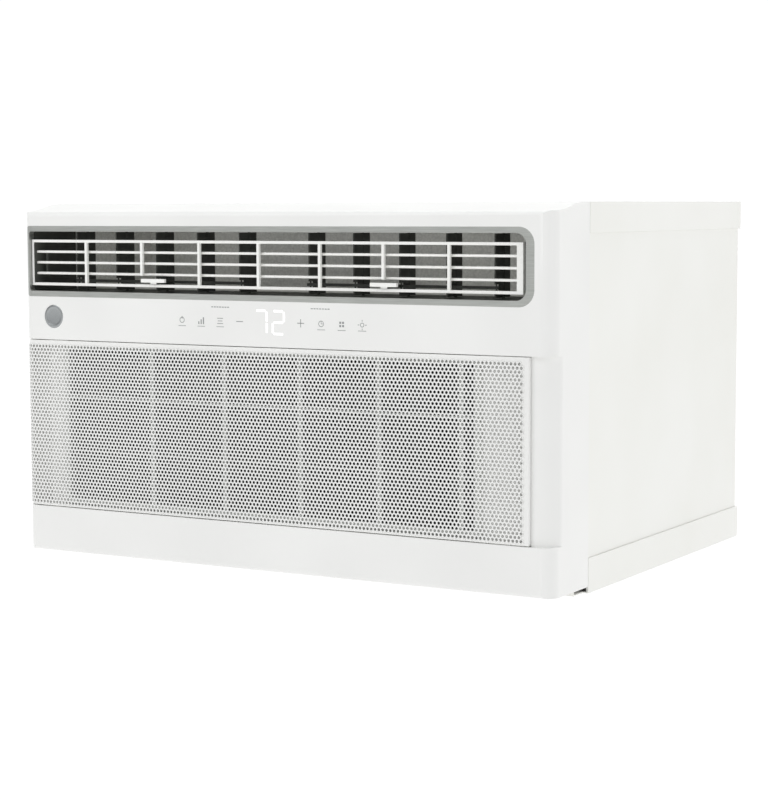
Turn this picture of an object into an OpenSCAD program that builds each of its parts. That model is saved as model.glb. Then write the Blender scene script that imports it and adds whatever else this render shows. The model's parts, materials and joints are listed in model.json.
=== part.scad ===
// Window air conditioner: a slide-in steel case with a moulded front cover.
// Millimetres. X runs across the front, Y runs back from the front face, Z is up.

/* [Case] */
// Width over the case sides
body_w = 660.4; // [600:1:800]
// Height from the underside of the base pan to the top
body_h = 396.9; // [392:1:480]
// Depth from the cover's front face to the rear edge
body_d = 511.2; // [500:1:620]
// Thickness of the steel sheets
sheet_t = 1.2; // [0.8:0.1:1.6]
// Height of the base pan's upturned side flanges
pan_flange_h = 36; // [20:1:45]
// Height of the top cover's downturned side flanges
top_flange_h = 31.4; // [20:1:40]
// How far the side panels sit inside the flanges
side_inset = 1.6; // [1.2:0.1:3]
// Diameter of the holes that bolt the base pan to a shelf or sleeve
shelf_bolt_d = 6.6; // [4.5:0.1:9]

/* [Front cover] */
// Depth of the moulded front cover
cover_d = 84; // [72:1:86]
// Wall thickness of the front cover
cover_t = 2.6; // [2:0.1:3.4]
// Radius of the cover's upright front corners
corner_r = 16; // [14:0.5:20]
// Gap between the shelf and the cover's lower edge
cover_z0 = 6.9; // [4:0.1:12]
// Height lost at the cover's front brow
brow_drop = 8.5; // [4:0.5:12]
// Height of the control strip between grille and outlet
strip_h = 48; // [42:1:70]
// Diameter of the round badge
badge_d = 26; // [18:1:34]

/* [Intake door] */
// Height of the door's lower edge above the shelf
intake_z0 = 57.3; // [50:0.5:70]
// Thickness of the perforated door
door_t = 2.4; // [1.8:0.1:3]
// Gap all round the door
door_gap = 0.9; // [0.6:0.1:1.5]
// Depth of the recess behind the door
recess_d = 10; // [9:0.5:14]
// Width of the finger groove beside the door
groove_w = 26.2; // [20:1:34]
// Depth of the finger groove
groove_d = 5.5; // [4:0.5:7]
// Diameter of the door's hinge pins
hinge_pin_d = 4; // [3:0.5:5]

/* [Air outlet] */
// Height of the outlet's trim ring
outlet_h = 78.7; // [78:0.5:90]
// Width of the trim ring's face
ring_w = 6.2; // [4:0.1:9]
// Width of the ring's face at its right end
ring_end_w = 9.2; // [6:0.1:12]
// Distance between the levelling slats
slat_pitch = 12; // [11:0.5:13.5]
// Depth of one slat from front to back
slat_d = 14.8; // [10:0.2:17]
// Thickness of the slats and the bars of the grid
bar_t = 3; // [2.4:0.1:3.4]
// Diameter of the pivots on the slats and vanes
pivot_d = 3; // [2.4:0.1:3.4]

/* [Fans] */
// Diameter of the blower wheel
blower_d = 190; // [150:1:196]
// Width of the blower wheel
blower_w = 66; // [50:1:72]
// Diameter of the condenser fan's slinger ring
fan_d = 300; // [240:1:310]
// Diameter of the motor shaft
shaft_d = 12.7; // [8:0.1:16]
// Diameter of the fan motor
motor_d = 132; // [100:1:140]
// Height of the fan shaft above the shelf
shaft_z = 184; // [176:1:200]

/* [Cooling circuit] */
// Depth of the evaporator's fin pack
evap_d = 40; // [25:1:41]
// Depth of the condenser's fin pack
cond_d = 34; // [25:1:45]
// Diameter of the heat exchanger tubes
tube_d = 9.5; // [7:0.1:12]
// Diameter of the compressor shell
comp_d = 122; // [95:1:126]
// Height of the compressor shell
comp_h = 214; // [160:1:240]

/* [Hidden] */
$fn = 48;

// Tube rows of a coil stand 25 apart; its turns come in pairs, so both ends are on the right
function coil_turns(z0, z1) = floor((z1 - z0 - 30) / 50);
function last_row(z0, z1) = z0 + 50 * coil_turns(z0, z1) - 5.5;

// Shared places, all measured from the middle of the width and the front face
hw = body_w / 2;
case_y0 = cover_d + 0.8;
pan_front_y = cover_d - 22;
outlet_z1 = body_h - 24.2;
outlet_z0 = outlet_z1 - outlet_h;
intake_z1 = outlet_z0 - strip_h;
brow_z = body_h - brow_drop;
rear_y = body_d - 3;

// Door: its left end wraps the cover's corner, round the hinge pins
hinge_x = corner_r - hw;
hinge_y = corner_r;
cup_r = corner_r - 0.1;
door_x1 = hw - groove_w - 0.4;
door_inset = 0.8;
door_wrap_y = hinge_y + 3;
door_z0 = intake_z0 + door_gap;
door_z1 = intake_z1 - door_gap;
door_back = door_inset + door_t;
window_x0 = 58.2 - hw;
window_x1 = hw - 87.2;
window_z0 = intake_z0 + 9;
window_z1 = intake_z1 - 8;
groove_r = 26;
groove_x = hw - 24.2;
groove_y1 = groove_d + groove_r - sqrt(pow(groove_r, 2) - pow(hw - groove_x, 2));

// Outlet: trim ring, dark duct, grid with slats in front of the vanes
ring_x0 = 3.2 - hw;
ring_x1 = hw - 20.6;
ring_depth = 9;
duct_x0 = ring_x0 + 7;
duct_x1 = ring_x1 - ring_end_w;
duct_z0 = outlet_z0 + ring_w;
duct_z1 = outlet_z1 - ring_w;
duct_y1 = cover_d;
grid_y0 = 5;
grid_x0 = duct_x0 + 0.4;
grid_x1 = duct_x1 - 5.4;
cheek_w = 7;
bay = (grid_x1 - cheek_w - grid_x0) / 8;
sill_z = duct_z0 + 7.6;
slat_y = 13.4;
slat_gap = 0.4;
link_dy = 7.6;
vane_y = 50;
vane_front = 19;
vane_rear = 13;
vane_t = 1.6;
vane_pin_y = vane_y - 16;
vane_pitch = (grid_x1 - grid_x0) / 11.2;
vane_z0 = duct_z0 + 1;
vane_z1 = duct_z1 - 1;
vane_link_z = sill_z + 3.4;
vane_link_t = 3;
run_fit = 0.1;
tab_w = 31;

// Air path and machinery behind the cover
plate_t = 2.4;
bulk_y = 234;
shaft_x = -hw / 5.5;
scroll_y0 = 142;
scroll_y1 = bulk_y - 0.4;
blower_y0 = 152;
motor_y0 = 254;
motor_l = 88;
fan_y = 396;
fan_w = 26;
shroud_y0 = fan_y - 12;
cond_y1 = body_d - 9;
cond_y0 = cond_y1 - cond_d;
cond_x0 = 32 - hw;
cond_x1 = 2 * shaft_x - cond_x0;
cond_z0 = 18;
cond_z1 = body_h - 26;
evap_y0 = case_y0 + 3.2;
evap_x0 = window_x0 - 14;
evap_x1 = window_x1 + 4;
evap_z0 = 44;
evap_z1 = outlet_z0 - 4;
comp_x = hw - 84;
comp_y = 308;
comp_z0 = 22;
acc_x = comp_x - comp_d / 2 - 26;
foot_r = comp_d / 2 + 8;
foot_turns = [90, 210, 330];
comp_top = 11;
drain_x = hw - 66;
drain_z = 15;
drain_bore_d = 16;
acc_d = 36;
line_x = acc_x - 31;
line_z = evap_z0 + 19.5;
suction_y = evap_y0 + evap_d / 2;
suction_z = last_row(evap_z0, evap_z1);
acc_z = [46, suction_z - 42.5];
cond_mid = (cond_y0 + cond_y1) / 2;
cond_in_z = last_row(cond_z0, cond_z1);
cond_out_z = cond_z0 + 19.5;
drier_d = 22;
drier_x = cond_x1 + 34;
drier_y = cond_y0 - 22;
drier_z = [64, 150];
gland_x = hw - 44;
gland_y = 40;

// The origin is under the middle of the whole object
module placed() translate([0, -body_d / 2, 0]) children();

// A box from corner to corner
module block(x, y, z) translate([x[0], y[0], z[0]])
    cube([x[1] - x[0], y[1] - y[0], z[1] - z[0]]);

// Round bars along each axis
module rod_x(x, y, z, d) translate([x[0], y, z]) rotate([0, 90, 0])
    cylinder(d = d, h = x[1] - x[0]);
module rod_y(x, y, z, d) translate([x, y[0], z]) rotate([-90, 0, 0])
    cylinder(d = d, h = y[1] - y[0]);
module rod_z(x, y, z, d) translate([x, y, z[0]]) cylinder(d = d, h = z[1] - z[0]);

// A shape drawn in X and Z, made thick along Y
module upright(y) translate([0, y[1], 0]) rotate([90, 0, 0])
    linear_extrude(y[1] - y[0]) children();

// A rectangle with its own corner radius at each end
module round_rect(x, z, r_left, r_right) {
    translate([x[0] + r_left, z[0]]) square([x[1] - x[0] - r_left - r_right, z[1] - z[0]]);
    translate([x[0], z[0] + r_left]) square([r_left, z[1] - z[0] - 2 * r_left]);
    translate([x[1] - r_right, z[0] + r_right]) square([r_right, z[1] - z[0] - 2 * r_right]);
    for (s = [0, 1]) {
        translate([x[0] + r_left, s ? z[1] - r_left : z[0] + r_left]) circle(r = r_left);
        translate([x[1] - r_right, s ? z[1] - r_right : z[0] + r_right]) circle(r = r_right);
    }
}

// A bent tube through a list of points
module pipe(points, d) {
    for (i = [1 : len(points) - 1]) {
        run = points[i] - points[i - 1];
        translate(points[i - 1]) rotate([0, acos(run[2] / norm(run)), atan2(run[1], run[0])])
            cylinder(d = d, h = norm(run), $fn = 24);
        if (i < len(points) - 1) translate(points[i]) sphere(d = d + 0.8, $fn = 24);
    }
}

// ---- Case ----

// Floor with upturned flanges at the sides and a low lip at the rear
module base_pan() color("#e9e9e4") placed() difference() {
    union() {
        block([-hw, hw], [case_y0, body_d], [0, sheet_t]);
        block([6 - hw, hw - 6], [pan_front_y, case_y0], [0, sheet_t]);
        for (x = [-hw, hw - sheet_t])
            block([x, x + sheet_t], [case_y0, body_d], [0, pan_flange_h]);
        block([sheet_t - hw, hw - sheet_t], [rear_y - sheet_t, rear_y], [0, pan_flange_h]);
        block([6 - hw, hw - 6], [pan_front_y, pan_front_y + sheet_t], [0, cover_z0 - 0.6]);
        for (a = foot_turns) translate([comp_x, comp_y, 0]) rotate([0, 0, a])
            translate([foot_r, 0, 0]) cylinder(d = 30, h = 4);
        rod_y(drain_x, [rear_y - 5, rear_y], drain_z, drain_bore_d + 6);
    }
    for (x = [50 - hw, hw - 50]) for (y = [120, body_d - 45])
        rod_z(x, y, [-1, sheet_t + 1], shelf_bolt_d);
    rod_y(drain_x, [rear_y - 6, rear_y + 1], drain_z, drain_bore_d);
}

// Roof with downturned flanges over the side panels
module top_cover() color("#eeeeea") placed() {
    block([-hw, hw], [case_y0, body_d], [body_h - sheet_t, body_h]);
    for (x = [-hw, hw - sheet_t])
        block([x, x + sheet_t], [case_y0, body_d], [body_h - top_flange_h, body_h]);
    block([sheet_t - hw, hw - sheet_t], [rear_y - sheet_t, rear_y],
        [body_h - top_flange_h, body_h]);
}

module side_panel() block([hw - side_inset - sheet_t, hw - side_inset],
    [case_y0 + 0.6, rear_y - sheet_t - 0.1], [sheet_t + 0.2, body_h - sheet_t - 0.2]);
module side_panel_right() color("#eeeee9") placed() side_panel();
module side_panel_left() color("#eeeee9") placed() mirror([1, 0, 0]) side_panel();

// Rear sheet, open behind the condenser, with slots for the intake air
module rear_panel() color("#dededa") placed() difference() {
    x1 = hw - side_inset - sheet_t - 0.2;
    y1 = rear_y - sheet_t;
    block([-x1, x1], [y1 - sheet_t, y1], [sheet_t + 0.2, body_h - sheet_t - 0.2]);
    block([cond_x0 + 6, cond_x1 - 6], [y1 - 9, y1 + 9], [cond_z0 + 30, cond_z1 - 12]);
    slots = floor((x1 - cond_x1 - 30) / 11);
    for (row = [0 : 2]) for (i = [0 : slots - 1])
        upright([y1 - 9, y1 + 9]) translate([cond_x1 + 22 + 11 * i, 70 + row * 92])
            round_rect([0, 5], [0, 76], 2.4, 2.4);
    rod_y(drain_x, [y1 - 9, y1 + 9], drain_z, drain_bore_d + 8);
}

// Wire guard over the condenser fins
module condenser_guard() color("#c8c8c4") placed() {
    y = cond_y1 + 1.6;
    columns = floor((cond_x1 - cond_x0 - 4) / 48);
    rows = floor((cond_z1 - cond_z0 - 40) / 30);
    for (i = [0 : columns])
        rod_z(cond_x0 + 2 + i * (cond_x1 - cond_x0 - 4) / columns, y,
            [cond_z0 + 20, cond_z1 - 4], 1.6);
    for (i = [0 : rows])
        rod_x([cond_x0 + 1, cond_x1 - 1], y, cond_z0 + 24 + i * (cond_z1 - cond_z0 - 32) / rows, 1.8);
}

// Insulated wall between the room side and the outdoor side
module bulkhead() color("#c9cccb") placed() difference() {
    x1 = hw - side_inset - sheet_t - 0.3;
    union() {
        block([-x1, x1], [bulk_y, bulk_y + sheet_t], [sheet_t, body_h - sheet_t]);
        block([-x1, x1], [bulk_y, bulk_y + 12], [body_h - 2.4 - sheet_t, body_h - sheet_t]);
    }
    rod_y(shaft_x, [bulk_y - 9, bulk_y + 9], shaft_z, shaft_d + 18);
    rod_y(line_x, [bulk_y - 9, bulk_y + 9], line_z, tube_d + 8);
    rod_y(acc_x, [bulk_y - 9, bulk_y + 9], suction_z, tube_d + 8);
}

// ---- Front cover ----

// The cover's outline from above, moved inwards by a wall
module cover_plan(i) {
    r = corner_r - i;
    translate([i - hw, corner_r]) square([body_w - 2 * i, cover_d - corner_r + (i > 0 ? 1 : 0)]);
    translate([corner_r - hw, i]) square([body_w - 2 * corner_r, corner_r]);
    for (x = [corner_r - hw, hw - corner_r]) translate([x, corner_r]) circle(r = r, $fn = 96);
}

// The cover's outline from the side: rounded chin and brow, top rising to the case
function brow_curve(i) = [for (k = [0 : 12])
    let (t = k / 12) [8 + 62 * t, body_h - i - brow_drop * (1 + cos(180 * t)) / 2]];
function arc(c, r, a0, a1) = [for (k = [0 : 8])
    let (a = a0 + (a1 - a0) * k / 8) c + r * [cos(a), sin(a)]];
module cover_side(i) {
    rear = cover_d + (i > 0 ? 1 : 0);
    polygon(concat(
        [[rear, cover_z0 + i]],
        arc([4, cover_z0 + 4], 4 - i, 270, 180),
        arc([5, brow_z - 5], 5 - i, 180, 90),
        brow_curve(i),
        [[rear, body_h - i]]));
}

module cover_body(i) intersection() {
    linear_extrude(body_h + 1) cover_plan(i);
    translate([-hw - 1, 0, 0]) rotate([90, 0, 90]) linear_extrude(body_w + 2) cover_side(i);
}

// Everything in front of the cover's skin between chin and control strip
module door_recess(g) {
    translate([-hw - 1, -1]) square([door_x1 + 0.3 + hw + 1 + g, 1 + recess_d + g]);
    translate([-hw - 1, -1]) square([4, 1 + door_wrap_y + 1.5]);
    translate([hinge_x, hinge_y]) circle(r = cup_r + g, $fn = 96);
    difference() {
        translate([door_x1 - 6, -1]) square([hw + 7 - door_x1, groove_y1 + g + 5]);
        translate([groove_x, groove_d + g + groove_r]) circle(r = groove_r, $fn = 96);
        translate([door_x1 - 7, groove_d + g]) square([groove_x - door_x1 + 7, groove_r * 2]);
    }
}

module front_cover() color("#ededeb") placed() difference() {
    union() {
        difference() {
            cover_body(0);
            cover_body(cover_t);
        }
        translate([0, 0, intake_z0 - cover_t]) linear_extrude(intake_z1 - intake_z0 + 2 * cover_t)
            intersection() { cover_plan(0); door_recess(cover_t); }
        for (z = [intake_z0 - 8, intake_z1 + 0.5]) rod_z(hinge_x, hinge_y, [z, z + 7.5], 10);
        for (x = [-130, 130]) for (z = [intake_z1 + 8, outlet_z0 - 8])
            rod_y(x, [cover_t - 0.5, 7], z, 6);
    }
    translate([0, 0, intake_z0]) linear_extrude(intake_z1 - intake_z0) door_recess(0);
    upright([recess_d - 1, recess_d + 9])
        round_rect([window_x0, window_x1], [window_z0, window_z1], 4, 4);
    for (z = [intake_z0 - 7, intake_z1 - 1])
        rod_z(hinge_x, hinge_y, [z, z + 8], hinge_pin_d + 2 * run_fit);
    upright([-1, ring_depth])
        round_rect([ring_x0, ring_x1], [outlet_z0, outlet_z1], 7, 17);
    rod_y(44.2 - hw, [-1, 1.4], intake_z1 + strip_h * 0.54, badge_d);
    rod_z(gland_x, gland_y, [cover_z0 - 1, cover_z0 + cover_t + 1], 14);
}

module trim_ring() color("#b4b6b1") placed() intersection() {
    linear_extrude(body_h) cover_plan(0);
    upright([0, ring_depth]) difference() {
        round_rect([ring_x0, ring_x1], [outlet_z0, outlet_z1], 7, 17);
        round_rect([duct_x0, duct_x1], [duct_z0, duct_z1], 3, 11);
    }
}

module badge() color("#9da0a0") placed()
    rod_y(44.2 - hw, [0, 1.4], intake_z1 + strip_h * 0.54, badge_d);

// Door: a thin plate that wraps the left corner, with hinge pins in the corner
module intake_door() color("#eeeeec") placed() {
    translate([0, 0, door_z0]) linear_extrude(door_z1 - door_z0) intersection() {
        difference() { cover_plan(door_inset); cover_plan(door_back); }
        translate([-hw - 1, -1]) square([door_x1 + hw + 1, 1 + door_wrap_y]);
    }
    block([door_x1 - 2.4, door_x1], [door_back - 0.2, recess_d - 2.6], [door_z0, door_z1]);
    for (z = [door_z0, door_z1 - 3])
        rod_z(hinge_x, hinge_y, [z, z + 3], 2 * (corner_r - door_back) + 1.4);
    rod_z(hinge_x, hinge_y, [door_z0 - 6, door_z0 + 1], hinge_pin_d);
    rod_z(hinge_x, hinge_y, [door_z1 - 1, door_z1 + 6], hinge_pin_d);
}

// Catch that the free end of the door snaps into
module door_catch() color("#d8d8d4") placed()
    for (z = [intake_z0 + 44, intake_z1 - 44])
        block([door_x1 - 14, door_x1 - 3.4], [door_back + 0.6, recess_d], [z - 6, z + 6]);

// Filter: a frame with five ribs that lies on the floor of the recess
filter_x0 = window_x0 - 4;
filter_x1 = window_x1 + 4;
filter_z0 = window_z0 - 4;
filter_z1 = window_z1 + 4;
filter_y0 = door_back + 2.2;
filter_y1 = recess_d;
module filter_frame() color("#e2e4e0") placed() {
    upright([filter_y0, filter_y1]) difference() {
        round_rect([filter_x0, filter_x1], [filter_z0, filter_z1], 3, 3);
        round_rect([filter_x0 + 6, filter_x1 - 6], [filter_z0 + 6, filter_z1 - 6], 2, 2);
    }
    for (k = [1 : 5])
        block([-2.5, 2.5] + [1, 1] * (filter_x0 + (0.046 + 0.1826 * k) * (filter_x1 - filter_x0)),
            [filter_y0 + 0.6, filter_y1 - 1.4], [filter_z0 + 5.5, filter_z1 - 5.5]);
    for (k = [1 : 2])
        block([filter_x0 + 5.5, filter_x1 - 5.5], [filter_y0 + 1.2, filter_y1 - 1.4],
            [-1, 1] + [1, 1] * (filter_z0 + k * (filter_z1 - filter_z0) / 3));
}
module filter_mesh() color("#5b5e5c") placed()
    block([filter_x0 + 5, filter_x1 - 5], [filter_y1 - 1.4, filter_y1 - 0.8],
        [filter_z0 + 5, filter_z1 - 5]);

// ---- Air outlet ----

function vane_x(side, i) = (side < 0 ? grid_x0 + 2.8 * vane_pitch : grid_x1 - 2.8 * vane_pitch)
    + (i - 3) * vane_pitch;
function slat_z(i) = sill_z + i * slat_pitch;
tab_x = [grid_x0 + 2 * bay + tab_w / 2 + 2, grid_x0 + 6 * bay - tab_w / 2 + 18];

// Dark box between the trim ring and the plenum, with the vanes' bearings
module outlet_duct() color("#3d3f3c") placed() difference() {
    upright([ring_depth, duct_y1]) difference() {
        round_rect([duct_x0 - plate_t, duct_x1 + plate_t],
            [duct_z0 - plate_t, duct_z1 + plate_t], 5, 13);
        round_rect([duct_x0, duct_x1], [duct_z0, duct_z1], 3, 11);
    }
    for (side = [-1, 1]) for (i = [1 : 5])
        rod_z(vane_x(side, i), vane_y, [duct_z0 - 9, duct_z1 + 9], pivot_d + 2 * run_fit);
}

// White grid: ribs in front, sill, top rail and the end plates that carry the slats
module louver_grid() color("#f5f5f1") placed() difference() {
    rail_z = slat_z(4);
    y1 = slat_y + 12;
    union() {
        block([grid_x0, grid_x1], [grid_y0, grid_y0 + 8], [sill_z - bar_t / 2, sill_z + bar_t / 2]);
        block([grid_x0, grid_x1], [grid_y0, grid_y0 + 8], [rail_z - bar_t / 2, rail_z + bar_t / 2]);
        block([grid_x0, grid_x0 + bar_t], [grid_y0, y1], [sill_z - bar_t / 2, rail_z + bar_t / 2]);
        block([grid_x1 - cheek_w, grid_x1], [grid_y0, y1],
            [sill_z - bar_t / 2, rail_z + bar_t / 2]);
        block([grid_x1 - 3, duct_x1], [y1 - 4, y1], [sill_z + 6, rail_z - 6]);
        block([duct_x0, grid_x0 + 1], [y1 - 4, y1], [sill_z + 6, rail_z - 6]);
        for (k = [1 : 7]) {
            short = k == 2 || k == 6;
            x = grid_x0 + k * bay;
            block([x - bar_t / 2, x + bar_t / 2], [grid_y0, grid_y0 + 3.4],
                [short ? slat_z(1) - 1.2 : sill_z, rail_z]);
        }
    }
    for (k = [1 : 3])
        rod_x([grid_x0 - 1, grid_x1 + 1], slat_y, slat_z(k), pivot_d + 2 * run_fit);
}

// A levelling slat: rounded nose, tapered tail, a pivot at each end, a pin for the link
module slat(k) {
    x0 = grid_x0 + bar_t + slat_gap;
    x1 = grid_x1 - cheek_w - slat_gap;
    tail_y = slat_y + slat_d - 4;
    difference() {
        union() {
            rod_x([x0, x1], slat_y - 2.6, slat_z(k), 2.8);
            translate([x0, 0, slat_z(k)]) rotate([90, 0, 90]) linear_extrude(x1 - x0) polygon([
                [slat_y - 2.6, -1.4], [slat_y + 2, -1.4], [tail_y, -0.8],
                [tail_y, 0.8], [slat_y + 2, 1.4], [slat_y - 2.6, 1.4]]);
        }
        block([x0 + 4, x0 + 9], [slat_y + 3.1, tail_y + 1], [slat_z(k) - 3, slat_z(k) + 3]);
    }
    rod_x([grid_x0 + 0.3, x0 + 6], slat_y, slat_z(k), pivot_d);
    rod_x([x1 - 6, x1 + 6], slat_y, slat_z(k), pivot_d);
    rod_x([x0 + 3.5, x0 + 9.5], slat_y + link_dy, slat_z(k), 1.6);
}
module slat_top() color("#f5f5f1") placed() slat(3);
module slat_middle() color("#f5f5f1") placed() slat(2);
module slat_bottom() color("#f5f5f1") placed() slat(1);

// Upright bar that keeps the three slats level with each other
module slat_link() color("#d9d9d5") placed() difference() {
    x0 = grid_x0 + bar_t + slat_gap + 5.2;
    y = slat_y + link_dy;
    translate([x0, 0, 0]) rotate([90, 0, 90]) linear_extrude(2.6)
        round_rect([y - 2, y + 2], [slat_z(1) - 2.4, slat_z(3) + 2.4], 1.9, 1.9);
    for (k = [1 : 3]) rod_x([x0 - 1, x0 + 4], y, slat_z(k), 1.6 + 2 * run_fit);
}

// An upright vane that steers the air sideways, notched for its link
module vane(x) {
    difference() {
        block([x - vane_t / 2, x + vane_t / 2], [vane_y - vane_front, vane_y + vane_rear],
            [vane_z0, vane_z1]);
        block([x - 2, x + 2], [vane_y - vane_front - 1, vane_pin_y + 5.5],
            [vane_link_z - 3.4, vane_link_z + 3.4]);
    }
    rod_z(x, vane_y, [duct_z0 - plate_t + 0.3, duct_z1 + plate_t - 0.3], pivot_d);
    rod_z(x, vane_pin_y, [vane_link_z - 4, vane_link_z + 4], 1.6);
}

// Bar that joins five vanes, with the finger tab that reaches out below the slats
module vane_link(side) {
    x = tab_x[side < 0 ? 0 : 1];
    z = [vane_link_z - vane_link_t / 2, vane_link_z + vane_link_t / 2];
    difference() {
        block([vane_x(side, 1) - 3, vane_x(side, 5) + 3], [vane_pin_y - 2.5, vane_pin_y + 2.5], z);
        for (i = [1 : 5]) rod_z(vane_x(side, i), vane_pin_y, z + [-1, 1], 1.6 + 2 * run_fit);
    }
    block([x - 4, x + 4], [3, vane_pin_y - 2], z);
    block([x - tab_w / 2, x + tab_w / 2], [1.2, 5], z + [1.8, 2.8]);
}
module left_vane_1() color("#4a4c48") placed() vane(vane_x(-1, 1));
module left_vane_2() color("#4a4c48") placed() vane(vane_x(-1, 2));
module left_vane_3() color("#4a4c48") placed() vane(vane_x(-1, 3));
module left_vane_4() color("#4a4c48") placed() vane(vane_x(-1, 4));
module left_vane_5() color("#4a4c48") placed() vane(vane_x(-1, 5));
module left_vane_link() color("#f5f5f1") placed() vane_link(-1);
module right_vane_1() color("#4a4c48") placed() vane(vane_x(1, 1));
module right_vane_2() color("#4a4c48") placed() vane(vane_x(1, 2));
module right_vane_3() color("#4a4c48") placed() vane(vane_x(1, 3));
module right_vane_4() color("#4a4c48") placed() vane(vane_x(1, 4));
module right_vane_5() color("#4a4c48") placed() vane(vane_x(1, 5));
module right_vane_link() color("#f5f5f1") placed() vane_link(1);

// ---- Controls ----

// Touch board that glows through the control strip
module display_board() color("#2f6b45") placed() {
    z = [intake_z1 + 5, outlet_z0 - 5];
    block([-140, 140], [7, 8.6], z);
    block([-22, 24], [4, 7], z + [4, -4]);
    for (x = [-110, -85, -60, 65, 90, 115])
        rod_y(x, [cover_t + 0.2, 7], (z[0] + z[1]) / 2, 9);
}

box_x = [hw - 62, hw - 8];
box_y = [case_y0 + 4, bulk_y - 16];
box_z = [intake_z1 - 118, intake_z1 + 28];
module control_box() color("#cfd2d1") placed() difference() {
    block(box_x, box_y, box_z);
    block(box_x + [sheet_t, 1], box_y + [sheet_t, -sheet_t], box_z + [sheet_t, -sheet_t]);
    rod_z(box_x[0] + 24, box_y[0] + 20, [box_z[0] - 1, box_z[0] + 3], 14);
}
module main_board() color("#2f6b45") placed() {
    y = box_y[0] + 14;
    block([box_x[0] + 6, box_x[1] - 4], [y, y + 1.6], box_z + [10, -10]);
    block([box_x[0] + sheet_t, box_x[0] + 8], [y - 1.5, y + 3], box_z + [14, -14]);
    block([box_x[0] + 12, box_x[0] + 36], [y + 1.6, y + 18], [box_z[1] - 56, box_z[1] - 22]);
    for (k = [0 : 1])
        rod_y(box_x[0] + 18 + 18 * k, [y + 1.6, y + 22], box_z[0] + 30, 12);
}
module run_capacitor() color("#c4c7c8") placed()
    rod_z(box_x[0] + 28, box_y[1] - 32, [box_z[0] + sheet_t, box_z[0] + 84], 44);

// ---- Room-side air path ----

// Foam-lined box that leads the blower's air forward to the duct
plenum_x = [duct_x0 - plate_t, duct_x1 + plate_t];
plenum_z = [duct_z0 - plate_t, duct_z1 + plate_t];
scroll_r = blower_d / 2 + 12;
outlet_x = [shaft_x - scroll_r, shaft_x + scroll_r + 34];
module air_plenum() color("#e6e6e2") placed() difference() {
    block(plenum_x, [duct_y1 + 0.2, scroll_y1], plenum_z);
    block(plenum_x + [plate_t, -plate_t], [duct_y1 - 1, scroll_y1 - plate_t],
        plenum_z + [plate_t, -plate_t]);
    block(outlet_x + [plate_t, -plate_t], [scroll_y0 + plate_t, scroll_y1 - plate_t],
        [plenum_z[0] - 1, plenum_z[0] + plate_t + 1]);
}

// Spiral wall round the blower, open at the top into the plenum
function spiral(grow) = [for (k = [0 : 48])
    let (t = k / 48, a = 180 + 180 * t, r = scroll_r + grow + 34 * t)
    [shaft_x + r * cos(a), shaft_z + r * sin(a) * (scroll_r + 4) / (scroll_r + 34 * t)]];
module scroll_side(grow) polygon(concat(
    spiral(grow), [[outlet_x[1] + grow, plenum_z[0]], [outlet_x[0] - grow, plenum_z[0]]]));
module blower_scroll() color("#dcdcd7") placed() {
    upright([scroll_y0 + plate_t, scroll_y1]) difference() {
        scroll_side(0);
        scroll_side(-plate_t);
        translate([outlet_x[0] + plate_t, plenum_z[0] - 9])
            square([outlet_x[1] - outlet_x[0] - 2 * plate_t, 20]);
    }
    upright([scroll_y0, scroll_y0 + plate_t]) difference() {
        scroll_side(0);
        translate([shaft_x, shaft_z]) circle(d = blower_d - 24);
    }
    upright([scroll_y0 - 6, scroll_y0 + 0.1]) translate([shaft_x, shaft_z]) difference() {
        circle(d = blower_d - 14);
        circle(d = blower_d - 24);
    }
}

// ---- Fans and motor ----

// Blower wheel: back plate, hub, forty blades and a front ring
module blower_wheel() color("#3a3c3d") placed() {
    r = blower_d / 2;
    y1 = blower_y0 + blower_w;
    difference() {
        union() {
            rod_y(shaft_x, [y1 - 2, y1], shaft_z, blower_d);
            rod_y(shaft_x, [y1 - 24, y1 - 1], shaft_z, shaft_d + 14);
        }
        rod_y(shaft_x, [y1 - 30, y1 + 1], shaft_z, shaft_d);
    }
    upright([blower_y0, blower_y0 + 4]) translate([shaft_x, shaft_z]) difference() {
        circle(r = r);
        circle(r = r - 11);
    }
    for (k = [0 : 39]) translate([shaft_x, 0, shaft_z]) rotate([0, 9 * k, 0])
        translate([r - 6, 0, 0]) rotate([0, 32, 0])
            block([-5, 5], [blower_y0 + 1, y1 - 1], [-0.6, 0.6]);
}

module motor_shaft() color("#c9ccce") placed()
    rod_y(shaft_x, [blower_y0 + blower_w - 30, fan_y + fan_w + 4], shaft_z, shaft_d);

module fan_motor() color("#8f9496") placed() difference() {
    union() {
        rod_y(shaft_x, [motor_y0 + 10, motor_y0 + motor_l - 10], shaft_z, motor_d);
        rod_y(shaft_x, [motor_y0, motor_y0 + motor_l], shaft_z, motor_d - 22);
        rod_y(shaft_x, [motor_y0 - 6, motor_y0 + motor_l + 6], shaft_z, shaft_d + 20);
    }
    rod_y(shaft_x, [motor_y0 - 9, motor_y0 + motor_l + 9], shaft_z, shaft_d + 2 * run_fit);
}

// Sheet steel cradle that stands on the base pan and clasps the motor
module motor_bracket() color("#b9bcbb") placed() {
    y = [motor_y0 + 18, motor_y0 + motor_l - 18];
    difference() {
        block([shaft_x - 44, shaft_x + 44], y, [sheet_t, shaft_z - 30]);
        block([shaft_x - 42, shaft_x + 42], y + [-1, 1], [sheet_t + 2, shaft_z - 90]);
        rod_y(shaft_x, y + [-1, 1], shaft_z, motor_d);
        block([shaft_x - 40, shaft_x + 40], y + [2, -2], [sheet_t - 1, shaft_z - 20]);
    }
    block([shaft_x - 70, shaft_x + 70], y, [sheet_t, sheet_t + 2.4]);
    difference() {
        rod_y(shaft_x, [motor_y0 + 34, motor_y0 + 54], shaft_z, motor_d + 3);
        rod_y(shaft_x, [motor_y0 + 30, motor_y0 + 58], shaft_z, motor_d);
    }
}

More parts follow.
